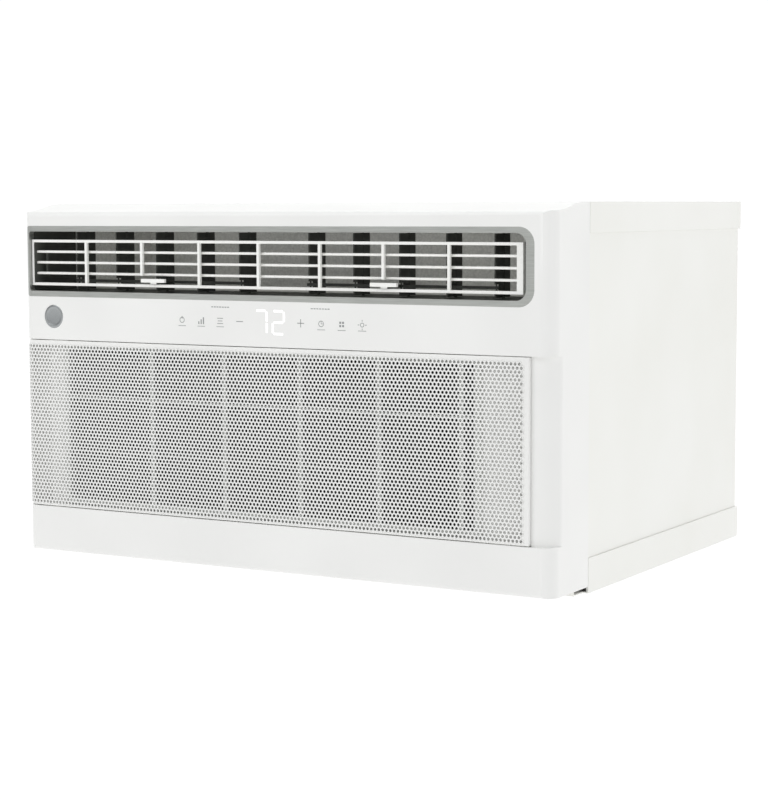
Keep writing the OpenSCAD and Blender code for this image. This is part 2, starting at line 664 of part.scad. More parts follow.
// Condenser fan: hub, five pitched blades and the slinger ring that flings water
module condenser_fan() color("#2e3031") placed() {
    difference() {
        rod_y(shaft_x, [fan_y, fan_y + fan_w], shaft_z, 58);
        rod_y(shaft_x, [fan_y - 1, fan_y + fan_w + 1], shaft_z, shaft_d);
    }
    intersection() {
        rod_y(shaft_x, [fan_y, fan_y + fan_w], shaft_z, fan_d - 4);
        for (k = [0 : 4]) translate([shaft_x, fan_y + fan_w / 2, shaft_z])
            rotate([0, 72 * k, 0]) rotate([26, 0, 0])
                block([24, fan_d / 2], [-1.2, 1.2], [-46, 46]);
    }
    upright([fan_y + fan_w - 5, fan_y + fan_w]) translate([shaft_x, shaft_z]) difference() {
        circle(d = fan_d, $fn = 96);
        circle(d = fan_d - 8, $fn = 96);
    }
}

// Plate with a round throat, and walls that lead the air to the condenser
module fan_shroud() color("#e0e0dc") placed() {
    x = [cond_x0 - 2, cond_x1 + 2];
    z = [cond_z0 - 4, cond_z1 + 2];
    throat = fan_d + 14;
    difference() {
        block(x, [shroud_y0, cond_y0 - 1], z);
        block(x + [2, -2], [shroud_y0 + 2, cond_y0], z + [2, -2]);
        rod_y(shaft_x, [shroud_y0 - 1, shroud_y0 + 3], shaft_z, throat);
    }
    upright([shroud_y0, shroud_y0 + 16]) translate([shaft_x, shaft_z]) difference() {
        circle(d = throat + 4, $fn = 96);
        circle(d = throat, $fn = 96);
    }
}

// ---- Cooling circuit ----

// Fin pack with end plates, and return bends on both ends
module coil(x, y, z) {
    mid = (y[0] + y[1]) / 2;
    turns = coil_turns(z[0], z[1]);
    block(x + [4, -4], y, z);
    for (s = [x[0], x[1] - 1.2]) block([s, s + 1.2], y, z);
    for (side = [0, 1]) for (k = [0 : turns - 1 - side])
        translate([side ? x[1] : x[0], mid, z[0] + 32 + side * 25 + 50 * k])
            rotate([0, 0, side ? -90 : 90]) rotate([0, 90, 0])
                rotate_extrude(angle = 180, $fn = 32)
                    translate([12.5, 0]) circle(d = tube_d, $fn = 24);
}
module evaporator() color("#c3c8ca") placed()
    coil([evap_x0, evap_x1], [evap_y0, evap_y0 + evap_d], [evap_z0, evap_z1]);
module condenser() color("#b9c0c3") placed()
    coil([cond_x0, cond_x1], [cond_y0, cond_y1], [cond_z0, cond_z1]);

// Tray that catches the evaporator's water and drains it to the rear
module drain_tray() color("#e8e8e4") placed() difference() {
    x = [evap_x0 - 22, evap_x1 + 24];
    y = [case_y0 + 1, bulk_y - 1];
    block(x, y, [sheet_t, evap_z0 + 8]);
    block(x + [6, -6], y + [-5, -8], [evap_z0 - 4, evap_z0 + 9]);
}

// Compressor: welded shell with domed ends, three feet and a terminal cover
module compressor() color("#2b2d2f") placed() translate([comp_x, comp_y, comp_z0]) {
    dome = comp_d * 0.16;
    translate([0, 0, dome]) cylinder(d = comp_d, h = comp_h - 2 * dome, $fn = 96);
    for (s = [0, 1]) translate([0, 0, s ? comp_h - dome : dome]) mirror([0, 0, 1 - s])
        rotate_extrude($fn = 96) intersection() {
            translate([0, dome - comp_d * 0.8]) circle(r = comp_d * 0.8, $fn = 96);
            square([comp_d / 2, dome]);
        }
    translate([0, 0, comp_h * 0.5]) cylinder(d = comp_d + 4, h = 6, $fn = 96);
    for (a = foot_turns) rotate([0, 0, a]) difference() {
        block([comp_d / 2 - 22, foot_r + 8], [-12, 12], [0, 4]);
        translate([foot_r, 0, -1]) cylinder(d = 17, h = 6);
    }
    cylinder(d = comp_d * 0.8, h = 6);
    translate([0, 0, comp_h - 3]) cylinder(d = 30, h = 3 + comp_top);
}

// Rubber feet, studs and nuts that carry the compressor
module compressor_mounts() color("#1d1e1f") placed()
    for (a = foot_turns) translate([comp_x, comp_y, 0]) rotate([0, 0, a])
        translate([foot_r, 0, 4]) {
            cylinder(d = 24, h = comp_z0 - 4);
            cylinder(d = 16.6, h = comp_z0 + 3);
            translate([0, 0, comp_z0 + 2]) cylinder(d = 22, h = 3);
            cylinder(d = 8, h = comp_z0 + 14);
            translate([0, 0, comp_z0 + 5]) cylinder(d = 13, h = 5, $fn = 6);
        }

// Accumulator: a can with domed ends, strapped to the compressor
module accumulator() color("#3a3d40") placed() {
    rod_z(acc_x, comp_y, acc_z, acc_d);
    for (z = acc_z) translate([acc_x, comp_y, z]) sphere(d = acc_d);
    block([acc_x, comp_x - comp_d / 2], [comp_y - 5, comp_y + 5], [84, 96]);
}

// Copper lines: suction to the accumulator, discharge to the condenser, liquid to the coil
module suction_line() color("#b87333") placed() pipe([
    [evap_x1, suction_y, suction_z], [evap_x1 + 8, suction_y, suction_z],
    [evap_x1 + 8, suction_y + 42, suction_z], [acc_x, suction_y + 42, suction_z],
    [acc_x, comp_y, suction_z], [acc_x, comp_y, acc_z[1] + acc_d / 2 - 0.3]], tube_d);
module discharge_line() color("#b87333") placed() pipe([
    [comp_x, comp_y, comp_z0 + comp_h + comp_top], [comp_x, comp_y, comp_z0 + comp_h + 44],
    [comp_x, cond_mid, comp_z0 + comp_h + 44], [comp_x, cond_mid, cond_in_z],
    [cond_x1, cond_mid, cond_in_z]], tube_d - 2);
module liquid_line() color("#b87333") placed() {
    pipe([[cond_x1, cond_mid, cond_out_z], [drier_x, cond_mid, cond_out_z],
        [drier_x, drier_y, cond_out_z],
        [drier_x, drier_y, drier_z[0] - drier_d / 2 + 0.2]], tube_d - 3);
    pipe([[drier_x, drier_y, drier_z[1] + drier_d / 2 - 0.2],
        [drier_x, drier_y, drier_z[1] + 34], [drier_x, shroud_y0 - 8, drier_z[1] + 34],
        [line_x, shroud_y0 - 8, drier_z[1] + 34], [line_x, shroud_y0 - 8, line_z],
        [line_x, bulk_y - 30, line_z], [evap_x1 + 12, bulk_y - 30, line_z],
        [evap_x1 + 12, suction_y, line_z], [evap_x1, suction_y, line_z]], 4);
}
module filter_drier() color("#b08d57") placed() {
    rod_z(drier_x, drier_y, drier_z, drier_d);
    for (z = drier_z) translate([drier_x, drier_y, z]) sphere(d = drier_d);
}

// ---- Small pieces ----

// Foam strips that seal the coil to the cover and the bulkhead to the roof
module foam_seals() color("#4b4e4d") placed() {
    block([evap_x0 - 10, evap_x0], [evap_y0 + 6, evap_y0 + evap_d - 6], [evap_z0 + 8.2, evap_z0 + 13]);
    block([evap_x1, evap_x1 + 6], [evap_y0 + 6, evap_y0 + evap_d - 6], [evap_z0 + 24, evap_z0 + 38]);
    block([window_x0, window_x1], [evap_y0 + 4, evap_y0 + evap_d], [evap_z1, plenum_z[0]]);
}

// Rubber bush where the mains lead leaves through the cover
module cord_gland() color("#232425") placed() difference() {
    union() {
        rod_z(gland_x, gland_y, [cover_z0, cover_z0 + cover_t], 14);
        rod_z(gland_x, gland_y, [cover_z0 + cover_t, cover_z0 + cover_t + 3], 19);
    }
    rod_z(gland_x, gland_y, [cover_z0 - 1, cover_z0 + cover_t + 4], 8);
}

// Rubber plug in the drain hole at the rear
module drain_plug() color("#232425") placed() {
    rod_y(drain_x, [rear_y - 5, rear_y + 0.5], drain_z, drain_bore_d);
    rod_y(drain_x, [rear_y, rear_y + 1.4], drain_z, drain_bore_d + 5);
}

// Pan-head screws round the rear edge
module case_screws() color("#b5b8b9") placed()
    for (x = [46 - hw, -hw / 3.3, hw / 3.3, hw - 46]) for (z = [24, body_h - 16])
        translate([x, 0, z]) {
            rod_y(0, [rear_y - 6, rear_y + 0.2], 0, 3.6);
            rod_y(0, [rear_y, rear_y + 2], 0, 8);
        }

base_pan();
top_cover();
side_panel_left();
side_panel_right();
rear_panel();
condenser_guard();
bulkhead();
front_cover();
trim_ring();
badge();
intake_door();
door_catch();
filter_frame();
filter_mesh();
outlet_duct();
louver_grid();
slat_top();
slat_middle();
slat_bottom();
slat_link();
left_vane_1();
left_vane_2();
left_vane_3();
left_vane_4();
left_vane_5();
left_vane_link();
right_vane_1();
right_vane_2();
right_vane_3();
right_vane_4();
right_vane_5();
right_vane_link();
display_board();
control_box();
main_board();
run_capacitor();
air_plenum();
blower_scroll();
blower_wheel();
motor_shaft();
fan_motor();
motor_bracket();
condenser_fan();
fan_shroud();
evaporator();
drain_tray();
condenser();
compressor();
compressor_mounts();
accumulator();
suction_line();
discharge_line();
liquid_line();
filter_drier();
foam_seals();
cord_gland();
drain_plug();
case_screws();
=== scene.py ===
import bpy, bmesh, json, math
from mathutils import Matrix, Vector


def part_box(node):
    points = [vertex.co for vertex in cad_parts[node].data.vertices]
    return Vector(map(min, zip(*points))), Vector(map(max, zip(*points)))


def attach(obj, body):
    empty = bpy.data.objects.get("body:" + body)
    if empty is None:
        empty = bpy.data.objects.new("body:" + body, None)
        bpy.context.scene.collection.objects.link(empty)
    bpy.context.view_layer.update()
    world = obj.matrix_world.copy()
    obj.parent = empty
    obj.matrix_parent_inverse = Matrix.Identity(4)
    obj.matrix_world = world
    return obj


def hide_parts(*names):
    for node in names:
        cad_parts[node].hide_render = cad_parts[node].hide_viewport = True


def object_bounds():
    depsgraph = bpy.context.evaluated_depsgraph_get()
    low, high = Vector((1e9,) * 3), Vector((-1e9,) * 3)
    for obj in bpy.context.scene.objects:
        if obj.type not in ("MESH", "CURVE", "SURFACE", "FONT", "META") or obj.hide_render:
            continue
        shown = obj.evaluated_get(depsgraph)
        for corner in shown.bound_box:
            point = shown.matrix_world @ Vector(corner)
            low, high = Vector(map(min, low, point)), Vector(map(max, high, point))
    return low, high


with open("model.json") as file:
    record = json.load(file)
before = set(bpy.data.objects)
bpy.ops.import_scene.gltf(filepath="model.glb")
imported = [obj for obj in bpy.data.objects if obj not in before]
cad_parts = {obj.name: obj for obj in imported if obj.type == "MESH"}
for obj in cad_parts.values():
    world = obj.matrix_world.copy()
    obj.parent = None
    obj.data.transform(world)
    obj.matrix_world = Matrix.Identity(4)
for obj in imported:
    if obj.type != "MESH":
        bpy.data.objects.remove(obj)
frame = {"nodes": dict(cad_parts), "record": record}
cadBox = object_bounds()

mm = 0.001
frontY, halfWidth = cadBox[0][1], cadBox[1][0]


# camera: above the right-hand side, turned to the left and a little down
camera = {"place": (1.1975, -1.8264 + frontY, 0.3922), "yaw": 30.07, "pitch": 5.30, "roll": -0.22,
          "lens": 93.6}


def makeCamera():
    yaw, pitch, roll = (math.radians(camera[k]) for k in ("yaw", "pitch", "roll"))
    forward = Vector((-math.sin(yaw) * math.cos(pitch), math.cos(yaw) * math.cos(pitch), -math.sin(pitch)))
    right = Vector((math.cos(yaw), math.sin(yaw), 0))
    up = right.cross(forward)
    right, up = right * math.cos(roll) + up * math.sin(roll), up * math.cos(roll) - right * math.sin(roll)
    turn = Matrix((right, up, -forward)).transposed().to_4x4()
    data = bpy.data.cameras.new("camera")
    data.lens, data.sensor_width, data.clip_end = camera["lens"], 36, 60
    eye = bpy.data.objects.new("camera", data)
    eye.matrix_world = Matrix.Translation(camera["place"]) @ turn
    bpy.context.scene.collection.objects.link(eye)
    bpy.context.scene.camera = eye


makeCamera()
print("camera placed")


# nodes and colours

def toLinear(hexCode):
    parts = [int(hexCode[i:i + 2], 16) / 255 for i in (0, 2, 4)]
    return [c / 12.92 if c <= 0.04045 else ((c + 0.055) / 1.055) ** 2.4 for c in parts] + [1]


def addNode(tree, kind, settings=None, inputs=None):
    node = tree.nodes.new(kind)
    for name, value in (settings or {}).items():
        setattr(node, name, value)
    for key, value in (inputs or {}).items():
        if isinstance(value, bpy.types.NodeSocket):
            tree.links.new(value, node.inputs[key])
        else:
            node.inputs[key].default_value = value
    return node


# settings of a Math node
add, subtract, multiply, divide, floor, modulo = (
    {"operation": name} for name in ("ADD", "SUBTRACT", "MULTIPLY", "DIVIDE", "FLOOR", "MODULO"))


def ramp(node, stops):
    band = node.color_ramp
    while len(band.elements) < len(stops):
        band.elements.new(0.5)
    for element, (place, hexCode) in zip(band.elements, stops):
        element.position, element.color = place, toLinear(hexCode)
    return node.outputs[0]


def startMaterial(name, hexCode, roughness, metallic=0.0, ior=1.5):
    material = bpy.data.materials.new(name)
    material.use_nodes = True
    tree = material.node_tree
    shader = tree.nodes["Principled BSDF"]
    shader.inputs["Base Color"].default_value = toLinear(hexCode)
    shader.inputs["Roughness"].default_value = roughness
    shader.inputs["Metallic"].default_value = metallic
    shader.inputs["IOR"].default_value = ior
    place = addNode(tree, "ShaderNodeTexCoord").outputs["Object"]
    return {"material": material, "tree": tree, "shader": shader, "place": place}


def noise(made, sizeMm, detail=2.0, stretch=(1, 1, 1)):  # sizeMm is the width of one blob
    tree = made["tree"]
    spread = addNode(tree, "ShaderNodeMapping", None, {"Vector": made["place"], "Scale": stretch})
    return addNode(tree, "ShaderNodeTexNoise", None,
                   {"Vector": spread.outputs[0], "Scale": 1000 / sizeMm, "Detail": detail}).outputs[0]


def raiseBy(made, height, depthMm, strength=1.0):  # bump that adds to what is there
    shader, tree = made["shader"], made["tree"]
    before = shader.inputs["Normal"].links[0].from_socket if shader.inputs["Normal"].links else None
    bump = addNode(tree, "ShaderNodeBump", None,
                   {"Height": height, "Distance": depthMm * mm, "Strength": strength})
    if before:
        tree.links.new(before, bump.inputs["Normal"])
    tree.links.new(bump.outputs[0], shader.inputs["Normal"])


def shade(made, driver, stops):
    band = addNode(made["tree"], "ShaderNodeValToRGB", None, {"Fac": driver})
    made["tree"].links.new(ramp(band, stops), made["shader"].inputs["Base Color"])


def polish(made, driver, least, most):
    span = addNode(made["tree"], "ShaderNodeMapRange", None,
                   {"Value": driver, "To Min": least, "To Max": most})
    made["tree"].links.new(span.outputs[0], made["shader"].inputs["Roughness"])


# materials

def mouldedAbs():  # ABS from a spark-eroded tool: a faint satin grain and soft highlights
    made = startMaterial("moulded ABS, satin white", "F1F1EF", 0.36, ior=1.53)
    raiseBy(made, noise(made, 0.7, 3), 0.012)
    raiseBy(made, noise(made, 45, 1), 0.05)  # slow sink marks that make a long highlight waver
    shade(made, noise(made, 130, 1), [(0.35, "EFEFED"), (0.65, "F3F3F1")])
    polish(made, noise(made, 18, 3), 0.33, 0.41)
    return made["material"]


def glossAbs():  # thin moulded bars from a polished tool: cleaner and shinier than the cover
    made = startMaterial("moulded ABS, semi-gloss white", "F7F7F4", 0.27, ior=1.53)
    raiseBy(made, noise(made, 9, 2), 0.01)
    shade(made, noise(made, 40, 2), [(0.3, "F5F5F1"), (0.7, "F9F9F6")])
    polish(made, noise(made, 6, 2), 0.24, 0.32)
    return made["material"]


def darkAbs():  # charcoal moulding with flow marks and a dry, dusty sheen
    made = startMaterial("moulded ABS, charcoal", "4B4D49", 0.5, ior=1.53)
    raiseBy(made, noise(made, 0.9, 3), 0.015)
    shade(made, noise(made, 22, 4, (1, 1, 0.3)), [(0.3, "454743"), (0.7, "52544F")])
    polish(made, noise(made, 12, 3), 0.44, 0.58)
    return made["material"]


def powderCoat():  # baked powder on sheet steel: low orange peel that breaks up reflections
    made = startMaterial("powder-coated steel, white", "F2F2ED", 0.42)
    raiseBy(made, noise(made, 2.2, 2), 0.02)
    raiseBy(made, noise(made, 0.5, 2), 0.006)
    shade(made, noise(made, 160, 2), [(0.35, "F0F0EB"), (0.65, "F3F3EF")])
    polish(made, noise(made, 30, 3), 0.38, 0.47)
    return made["material"]


def satinSilver():  # metallised ABS, brushed lengthwise: fine lines run along the ring's long sides
    made = startMaterial("metallised ABS, brushed silver", "B6B8B4", 0.34, metallic=0.85)
    lines = noise(made, 0.5, 4, (0.02, 1, 1))
    raiseBy(made, lines, 0.01)
    shade(made, lines, [(0.3, "A8AAA6"), (0.7, "BFC1BD")])
    polish(made, noise(made, 3, 3, (0.05, 1, 1)), 0.28, 0.42)
    return made["material"]


def spunSteel(centre):  # disc faced on a lathe: rings about its middle
    made = startMaterial("spun stainless steel", "A7AAAB", 0.3, metallic=1.0)
    tree = made["tree"]
    shifted = addNode(tree, "ShaderNodeMapping", None,
                      {"Vector": made["place"], "Location": [-c for c in centre]})
    rings = addNode(tree, "ShaderNodeTexWave", {"wave_type": "RINGS", "rings_direction": "Y"},
                    {"Vector": shifted.outputs[0], "Scale": 1000 / 2.4, "Distortion": 0.6, "Detail": 3.0})
    raiseBy(made, rings.outputs["Fac"], 0.01)
    shade(made, rings.outputs["Fac"], [(0.2, "989B9C"), (0.8, "B3B6B7")])
    return made["material"]


def zincSheet():  # galvanised sheet: large crystals of slightly different grey
    made = startMaterial("galvanised steel", "B4B8B8", 0.4, metallic=0.9)
    cells = addNode(made["tree"], "ShaderNodeTexVoronoi", None, {"Vector": made["place"], "Scale": 1000 / 9})
    shade(made, cells.outputs["Color"], [(0.1, "A3A8A8"), (0.9, "C3C7C7")])
    polish(made, cells.outputs["Color"], 0.3, 0.52)
    raiseBy(made, noise(made, 1.2, 3), 0.008)
    return made["material"]


def millAluminium():  # rolled fin stock and cans: drawn lines with small dull patches
    made = startMaterial("mill-finish aluminium", "C6CACC", 0.33, metallic=1.0)
    shade(made, noise(made, 4, 4, (1, 1, 0.2)), [(0.3, "B6BBBD"), (0.7, "D0D4D5")])
    polish(made, noise(made, 10, 4), 0.26, 0.45)
    raiseBy(made, noise(made, 0.8, 2, (1, 1, 0.05)), 0.01)
    return made["material"]


def platedSteel():  # pressed and plated motor shell: even, faintly rippled
    made = startMaterial("zinc-plated steel, pressed", "989DA0", 0.32, metallic=1.0)
    shade(made, noise(made, 16, 4), [(0.3, "8C9194"), (0.7, "A5AAAD")])
    polish(made, noise(made, 7, 3), 0.25, 0.42)
    raiseBy(made, noise(made, 5, 2), 0.02)
    return made["material"]


def blackEnamel():  # thick stoved paint over a weld-scaled shell
    made = startMaterial("black stoved enamel", "1E1F21", 0.28)
    raiseBy(made, noise(made, 3.5, 2), 0.05)
    shade(made, noise(made, 30, 3), [(0.3, "1A1B1D"), (0.75, "28292C")])
    polish(made, noise(made, 9, 3), 0.22, 0.42)
    return made["material"]


def moulded(name, hexCode, lighter, roughness=0.55):  # plain grained plastic in one colour
    made = startMaterial(name, hexCode, roughness, ior=1.5)
    raiseBy(made, noise(made, 0.8, 3), 0.015)
    shade(made, noise(made, 24, 3), [(0.3, hexCode), (0.7, lighter)])
    polish(made, noise(made, 10, 3), roughness - 0.06, roughness + 0.06)
    return made["material"]


def beadFoam():  # expanded polystyrene: fused beads of 3 mm show as shallow cells
    made = startMaterial("expanded polystyrene", "ECECE8", 0.75)
    cells = addNode(made["tree"], "ShaderNodeTexVoronoi", None, {"Vector": made["place"], "Scale": 1000 / 3})
    raiseBy(made, cells.outputs["Distance"], 0.25)
    shade(made, cells.outputs["Distance"], [(0.2, "F1F1ED"), (0.9, "DEDEDA")])
    return made["material"]


def mouldedRubber():  # dull black with a bloom of paler dust
    made = startMaterial("moulded rubber", "202122", 0.7, ior=1.52)
    raiseBy(made, noise(made, 0.6, 3), 0.03)
    shade(made, noise(made, 12, 4), [(0.35, "1C1D1E"), (0.75, "303233")])
    return made["material"]


def drawnCopper():  # tube with bright draw lines, browned by handling and brazing
    made = startMaterial("drawn copper", "B8734A", 0.3, metallic=1.0)
    shade(made, noise(made, 28, 5), [(0.3, "9C5A38"), (0.55, "BC7850"), (0.8, "C98A62")])
    polish(made, noise(made, 8, 4), 0.22, 0.45)
    raiseBy(made, noise(made, 0.5, 2, (1, 1, 0.1)), 0.008)
    return made["material"]


def solderMask():  # green lacquer over copper tracks: tracks stand a hair proud
    made = startMaterial("circuit board, green mask", "23663F", 0.3, ior=1.55)
    upright = addNode(made["tree"], "ShaderNodeMapping", None,
                      {"Vector": made["place"], "Rotation": (math.pi / 2, 0, 0)}).outputs[0]
    tracks = addNode(made["tree"], "ShaderNodeTexBrick", {"offset": 0.37},
                     {"Vector": upright, "Scale": 1000 / 30, "Mortar Size": 0.03, "Color1": (1, 1, 1, 1),
                      "Color2": (0.8, 0.8, 0.8, 1), "Mortar": (0, 0, 0, 1)})
    shade(made, tracks.outputs["Color"], [(0.1, "2F7F50"), (0.9, "1F5C39")])
    raiseBy(made, tracks.outputs["Fac"], 0.05)
    return made["material"]


def litSegment():  # white light behind a thin white wall: a soft glow with hardly any edge
    made = startMaterial("white display light", "FFFFFF", 0.4)
    made["shader"].inputs["Emission Color"].default_value = toLinear("FFFFFF")
    made["shader"].inputs["Emission Strength"].default_value = 0.45
    shade(made, noise(made, 5, 1), [(0.3, "FBFBFB"), (0.7, "FFFFFF")])
    return made["material"]


finishes = {
    "painted_steel": powderCoat(), "galvanised_steel": zincSheet(), "cover_plastic": mouldedAbs(),
    "grid_plastic": glossAbs(), "dark_plastic": darkAbs(), "ring_silver": satinSilver(),
    "filter_plastic": moulded("moulded polypropylene, pale grey", "DFE1DD", "E8EAE6"),
    "filter_net": moulded("nylon net", "3A3D3C", "4A4D4B", 0.65),
    "circuit_board": solderMask(), "duct_foam": beadFoam(), "aluminium_fins": millAluminium(),
    "motor_steel": platedSteel(), "black_enamel": blackEnamel(), "rubber": mouldedRubber(),
    "copper": drawnCopper()}
ink = moulded("printed ink, grey", "8A8D8C", "949796", 0.6)
glow = litSegment()
print("materials made:", len(bpy.data.materials))


# shared making

nodeSlot = {row["node"]: row["material_slot"] for row in frame["record"]["subparts"]}
nodeBody = {node: body for body, nodes in frame["record"]["behaviour"]["bodies"].items() for node in nodes}


def place(mesh, name, node, material=None, replaced=None):
    piece = bpy.data.objects.new(name.replace(" ", "_"), mesh)
    bpy.context.scene.collection.objects.link(piece)
    mesh.materials.clear()
    mesh.materials.append(material or finishes[nodeSlot[node]])
    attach(piece, nodeBody[node])
    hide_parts(*(replaced if replaced is not None else [node]))
    return piece


def boxOf(node):  # lowest and highest corner in mm
    lowest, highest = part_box(node)
    return Vector(lowest) / mm, Vector(highest) / mm


def weldedShape(node):  # the CAD mesh again, its flat facets joined so that a bevel finds only real edges
    shape = bmesh.new()
    shape.from_mesh(frame["nodes"][node].data)
    bmesh.ops.remove_doubles(shape, verts=shape.verts, dist=3e-6)
    if node != "filter_frame":  # its ribs and rails make faces with windows in them, which can't be joined
        bmesh.ops.dissolve_limit(shape, angle_limit=math.radians(0.5), verts=shape.verts, edges=shape.edges)
    return shape


def toMesh(shape, name):
    mesh = bpy.data.meshes.new(name)
    shape.to_mesh(mesh)
    shape.free()
    return mesh


def evaluated(mesh, modify):  # the mesh after the modifiers that modify(holder) adds
    holder = bpy.data.objects.new("holder", mesh)
    bpy.context.scene.collection.objects.link(holder)
    modify(holder)
    graph = bpy.context.evaluated_depsgraph_get()
    result = bpy.data.meshes.new_from_object(
        holder.evaluated_get(graph), preserve_all_data_layers=True, depsgraph=graph)
    bpy.data.objects.remove(holder)
    return result


def smoothed(mesh, sharpDegrees):  # round surfaces shade smoothly, and edges past the angle stay crisp
    mesh.polygons.foreach_set("use_smooth", [True] * len(mesh.polygons))
    mesh.set_sharp_from_angle(angle=math.radians(sharpDegrees))
    return mesh


def softened(mesh, widthMm, segments=2, byWeight=False):  # small radius on every real edge, flats kept flat
    def modify(holder):
        bevel = holder.modifiers.new("edge radius", "BEVEL")
        bevel.width, bevel.segments = widthMm * mm, segments
        bevel.limit_method = "WEIGHT" if byWeight else "ANGLE"
        bevel.angle_limit = math.radians(32)
        bevel.miter_outer = "MITER_ARC"
        holder.modifiers.new("flat normals", "WEIGHTED_NORMAL").keep_sharp = True

    return evaluated(smoothed(mesh, 50), modify)


def slab(shape, x, y, z):  # a box from corner to corner in mm, added to a bmesh
    for vertex in bmesh.ops.create_cube(shape, size=1)["verts"]:
        vertex.co = Vector([(a + b) / 2 + c * (b - a) for (a, b), c in zip((x, y, z), vertex.co)]) * mm


def rod(shape, centre, radius, along, axis="Z", sides=32):  # a closed round bar in mm
    turn = Matrix.Rotation(math.pi / 2, 4, "Y") if axis == "X" else Matrix()
    middle = list(centre)
    middle["XYZ".index(axis)] = sum(along) / 2
    bmesh.ops.create_cone(shape, cap_ends=True, segments=sides, radius1=radius * mm, radius2=radius * mm,
                          depth=abs(along[1] - along[0]) * mm,
                          matrix=Matrix.Translation(Vector(middle) * mm) @ turn)


def turned(profile, centre, sides=72):  # profile of (radius, depth) in mm, turned about Y
    shape = bmesh.new()
    rings = []
    for radius, depth in profile:
        angles = [2 * math.pi * k / sides for k in range(sides)] if radius > 1e-6 else [0]
        rings.append([shape.verts.new(Vector((centre[0] + radius * math.cos(angle), centre[1] + depth,
                                              centre[2] + radius * math.sin(angle))) * mm)
                      for angle in angles])
    for a, b in zip(rings, rings[1:]):
        for k in range(sides):
            n = (k + 1) % sides
            corners = [a[k % len(a)], a[n % len(a)], b[n % len(b)], b[k % len(b)]]
            shape.faces.new(list(dict.fromkeys(corners)))
    bmesh.ops.recalc_face_normals(shape, faces=shape.faces)
    return shape


def startTree(name, inputs):  # an empty Geometry Nodes tree with named inputs, and the sockets they arrive on
    tree = bpy.data.node_groups.new(name, "GeometryNodeTree")
    for label, kind in inputs.items():
        tree.interface.new_socket(label, in_out="INPUT", socket_type="NodeSocket" + kind)
    tree.interface.new_socket("Geometry", in_out="OUTPUT", socket_type="NodeSocketGeometry")
    return tree, addNode(tree, "NodeGroupInput").outputs


def grown(tree, values, name):  # the mesh that a Geometry Nodes tree makes from named inputs
    def modify(holder):
        modifier = holder.modifiers.new(name, "NODES")
        modifier.node_group = tree
        sockets = {item.name: item.identifier for item in tree.interface.items_tree if item.in_out == "INPUT"}
        for key, value in values.items():
            modifier[sockets[key]] = value

    mesh = evaluated(bpy.data.meshes.new("seed"), modify)
    mesh.name = name
    return mesh


# case, cover and other pieces that take a moulded or pressed radius, by its width in mm

edgeRadii = {
    1.7: ["trim_ring"],
    0.7: ["front_cover", "air_plenum", "drain_tray", "run_capacitor", "fan_motor"],
    0.4: ["louver_grid", "outlet_duct", "door_catch", "compressor_mounts", "blower_scroll",
          "fan_shroud", "cord_gland", "drain_plug", "left_vane_link", "right_vane_link"],
    0.25: ["base_pan", "top_cover", "side_panel_left", "side_panel_right", "rear_panel", "bulkhead",
           "filter_frame", "control_box", "motor_bracket", "slat_top", "slat_middle", "slat_bottom",
           "slat_link", "foam_seals"]
    + [f"{side}_vane_{i}" for side in ("left", "right") for i in range(1, 6)]}
pieces = {}
for widthMm, nodes in edgeRadii.items():
    for node in nodes:
        mesh = softened(toMesh(weldedShape(node), node), widthMm, 4 if widthMm > 1 else 2)
        pieces[node] = place(mesh, node + " finished", node)

charcoal = {"cheekWidth": 12, "cheekDepth": 6.5, "linkDepth": 9}  # where the painted shade starts, in mm: charcoal faces stand in for the shade deep in the duct


def paintShadeWhere(node, test):  # the faces that test(centre in mm) picks are painted charcoal as shade, where white parts sit deep in the duct's shade
    mesh = pieces[node].data
    mesh.materials.append(finishes["dark_plastic"])
    for face in mesh.polygons:
        if test((face.center - Vector((0, frontY, 0))) / mm):
            face.material_index = 1


# painted shade: the grid's left cheek behind its front, the vane links behind the sill and the whole slat
# link are coloured charcoal, standing in for the shade in the duct that hides them
cheekEnd = boxOf("louver_grid")[0].x + charcoal["cheekWidth"]
paintShadeWhere("louver_grid", lambda at: at.x < cheekEnd and at.y > charcoal["cheekDepth"])
for side in ("left", "right"):
    paintShadeWhere(side + "_vane_link", lambda at: at.y > charcoal["linkDepth"])
paintShadeWhere("slat_link", lambda at: True)
print("edge radii done")


# intake door: a perforated sheet that wraps the left corner, inside a plain margin

door = {"pitch": 4.51, "row": 3.906, "rows": 46, "sheets": (47, 46, 46), "hole": 3.3, "thick": 2.4,
        "field": 1.0, "lastHole": 295.7, "firstRow": 62.5, "inset": 0.8, "corner": 16.0, "wrapEnd": 19.0,
        "edge": 0.5, "pinOut": 6}
fittings = {"returnThick": 2.4, "returnDepth": 7.4, "ribs": 9, "ribReach": 6, "ribLeave": 2.2, "ribRise": 2.2,
            "ribHalf": 0.6, "ribEnd": 12, "sink": 0.3, "hub": 13.1, "hubThick": 3, "boss": 4.2, "bossEnd": 5,
            "pin": 2}
doorLow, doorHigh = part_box("intake_door")
doorRight = boxOf("intake_door")[1].x
doorZ = (doorLow[2] / mm + door["pinOut"], doorHigh[2] / mm - door["pinOut"])  # without the hinge pins
doorOuter = door["corner"] - door["inset"]  # outside radius of the wrapped end
pivotX, pivotY = -halfWidth / mm + door["corner"], frontY / mm + door["corner"]


def bendRound(mesh):  # flat sheet (across, depth, height) to the door's place, left end round the corner
    for vertex in mesh.vertices:
        across, depth, height = vertex.co / mm
        run = max(pivotX - across, 0)
        turn = min(run / doorOuter, math.pi / 2)
        straight = max(run - doorOuter * math.pi / 2, 0)
        radius = doorOuter - depth
        vertex.co = Vector((max(across, pivotX) - radius * math.sin(turn),
                            pivotY - radius * math.cos(turn) + straight, height)) * mm
    mesh.update()
    return mesh


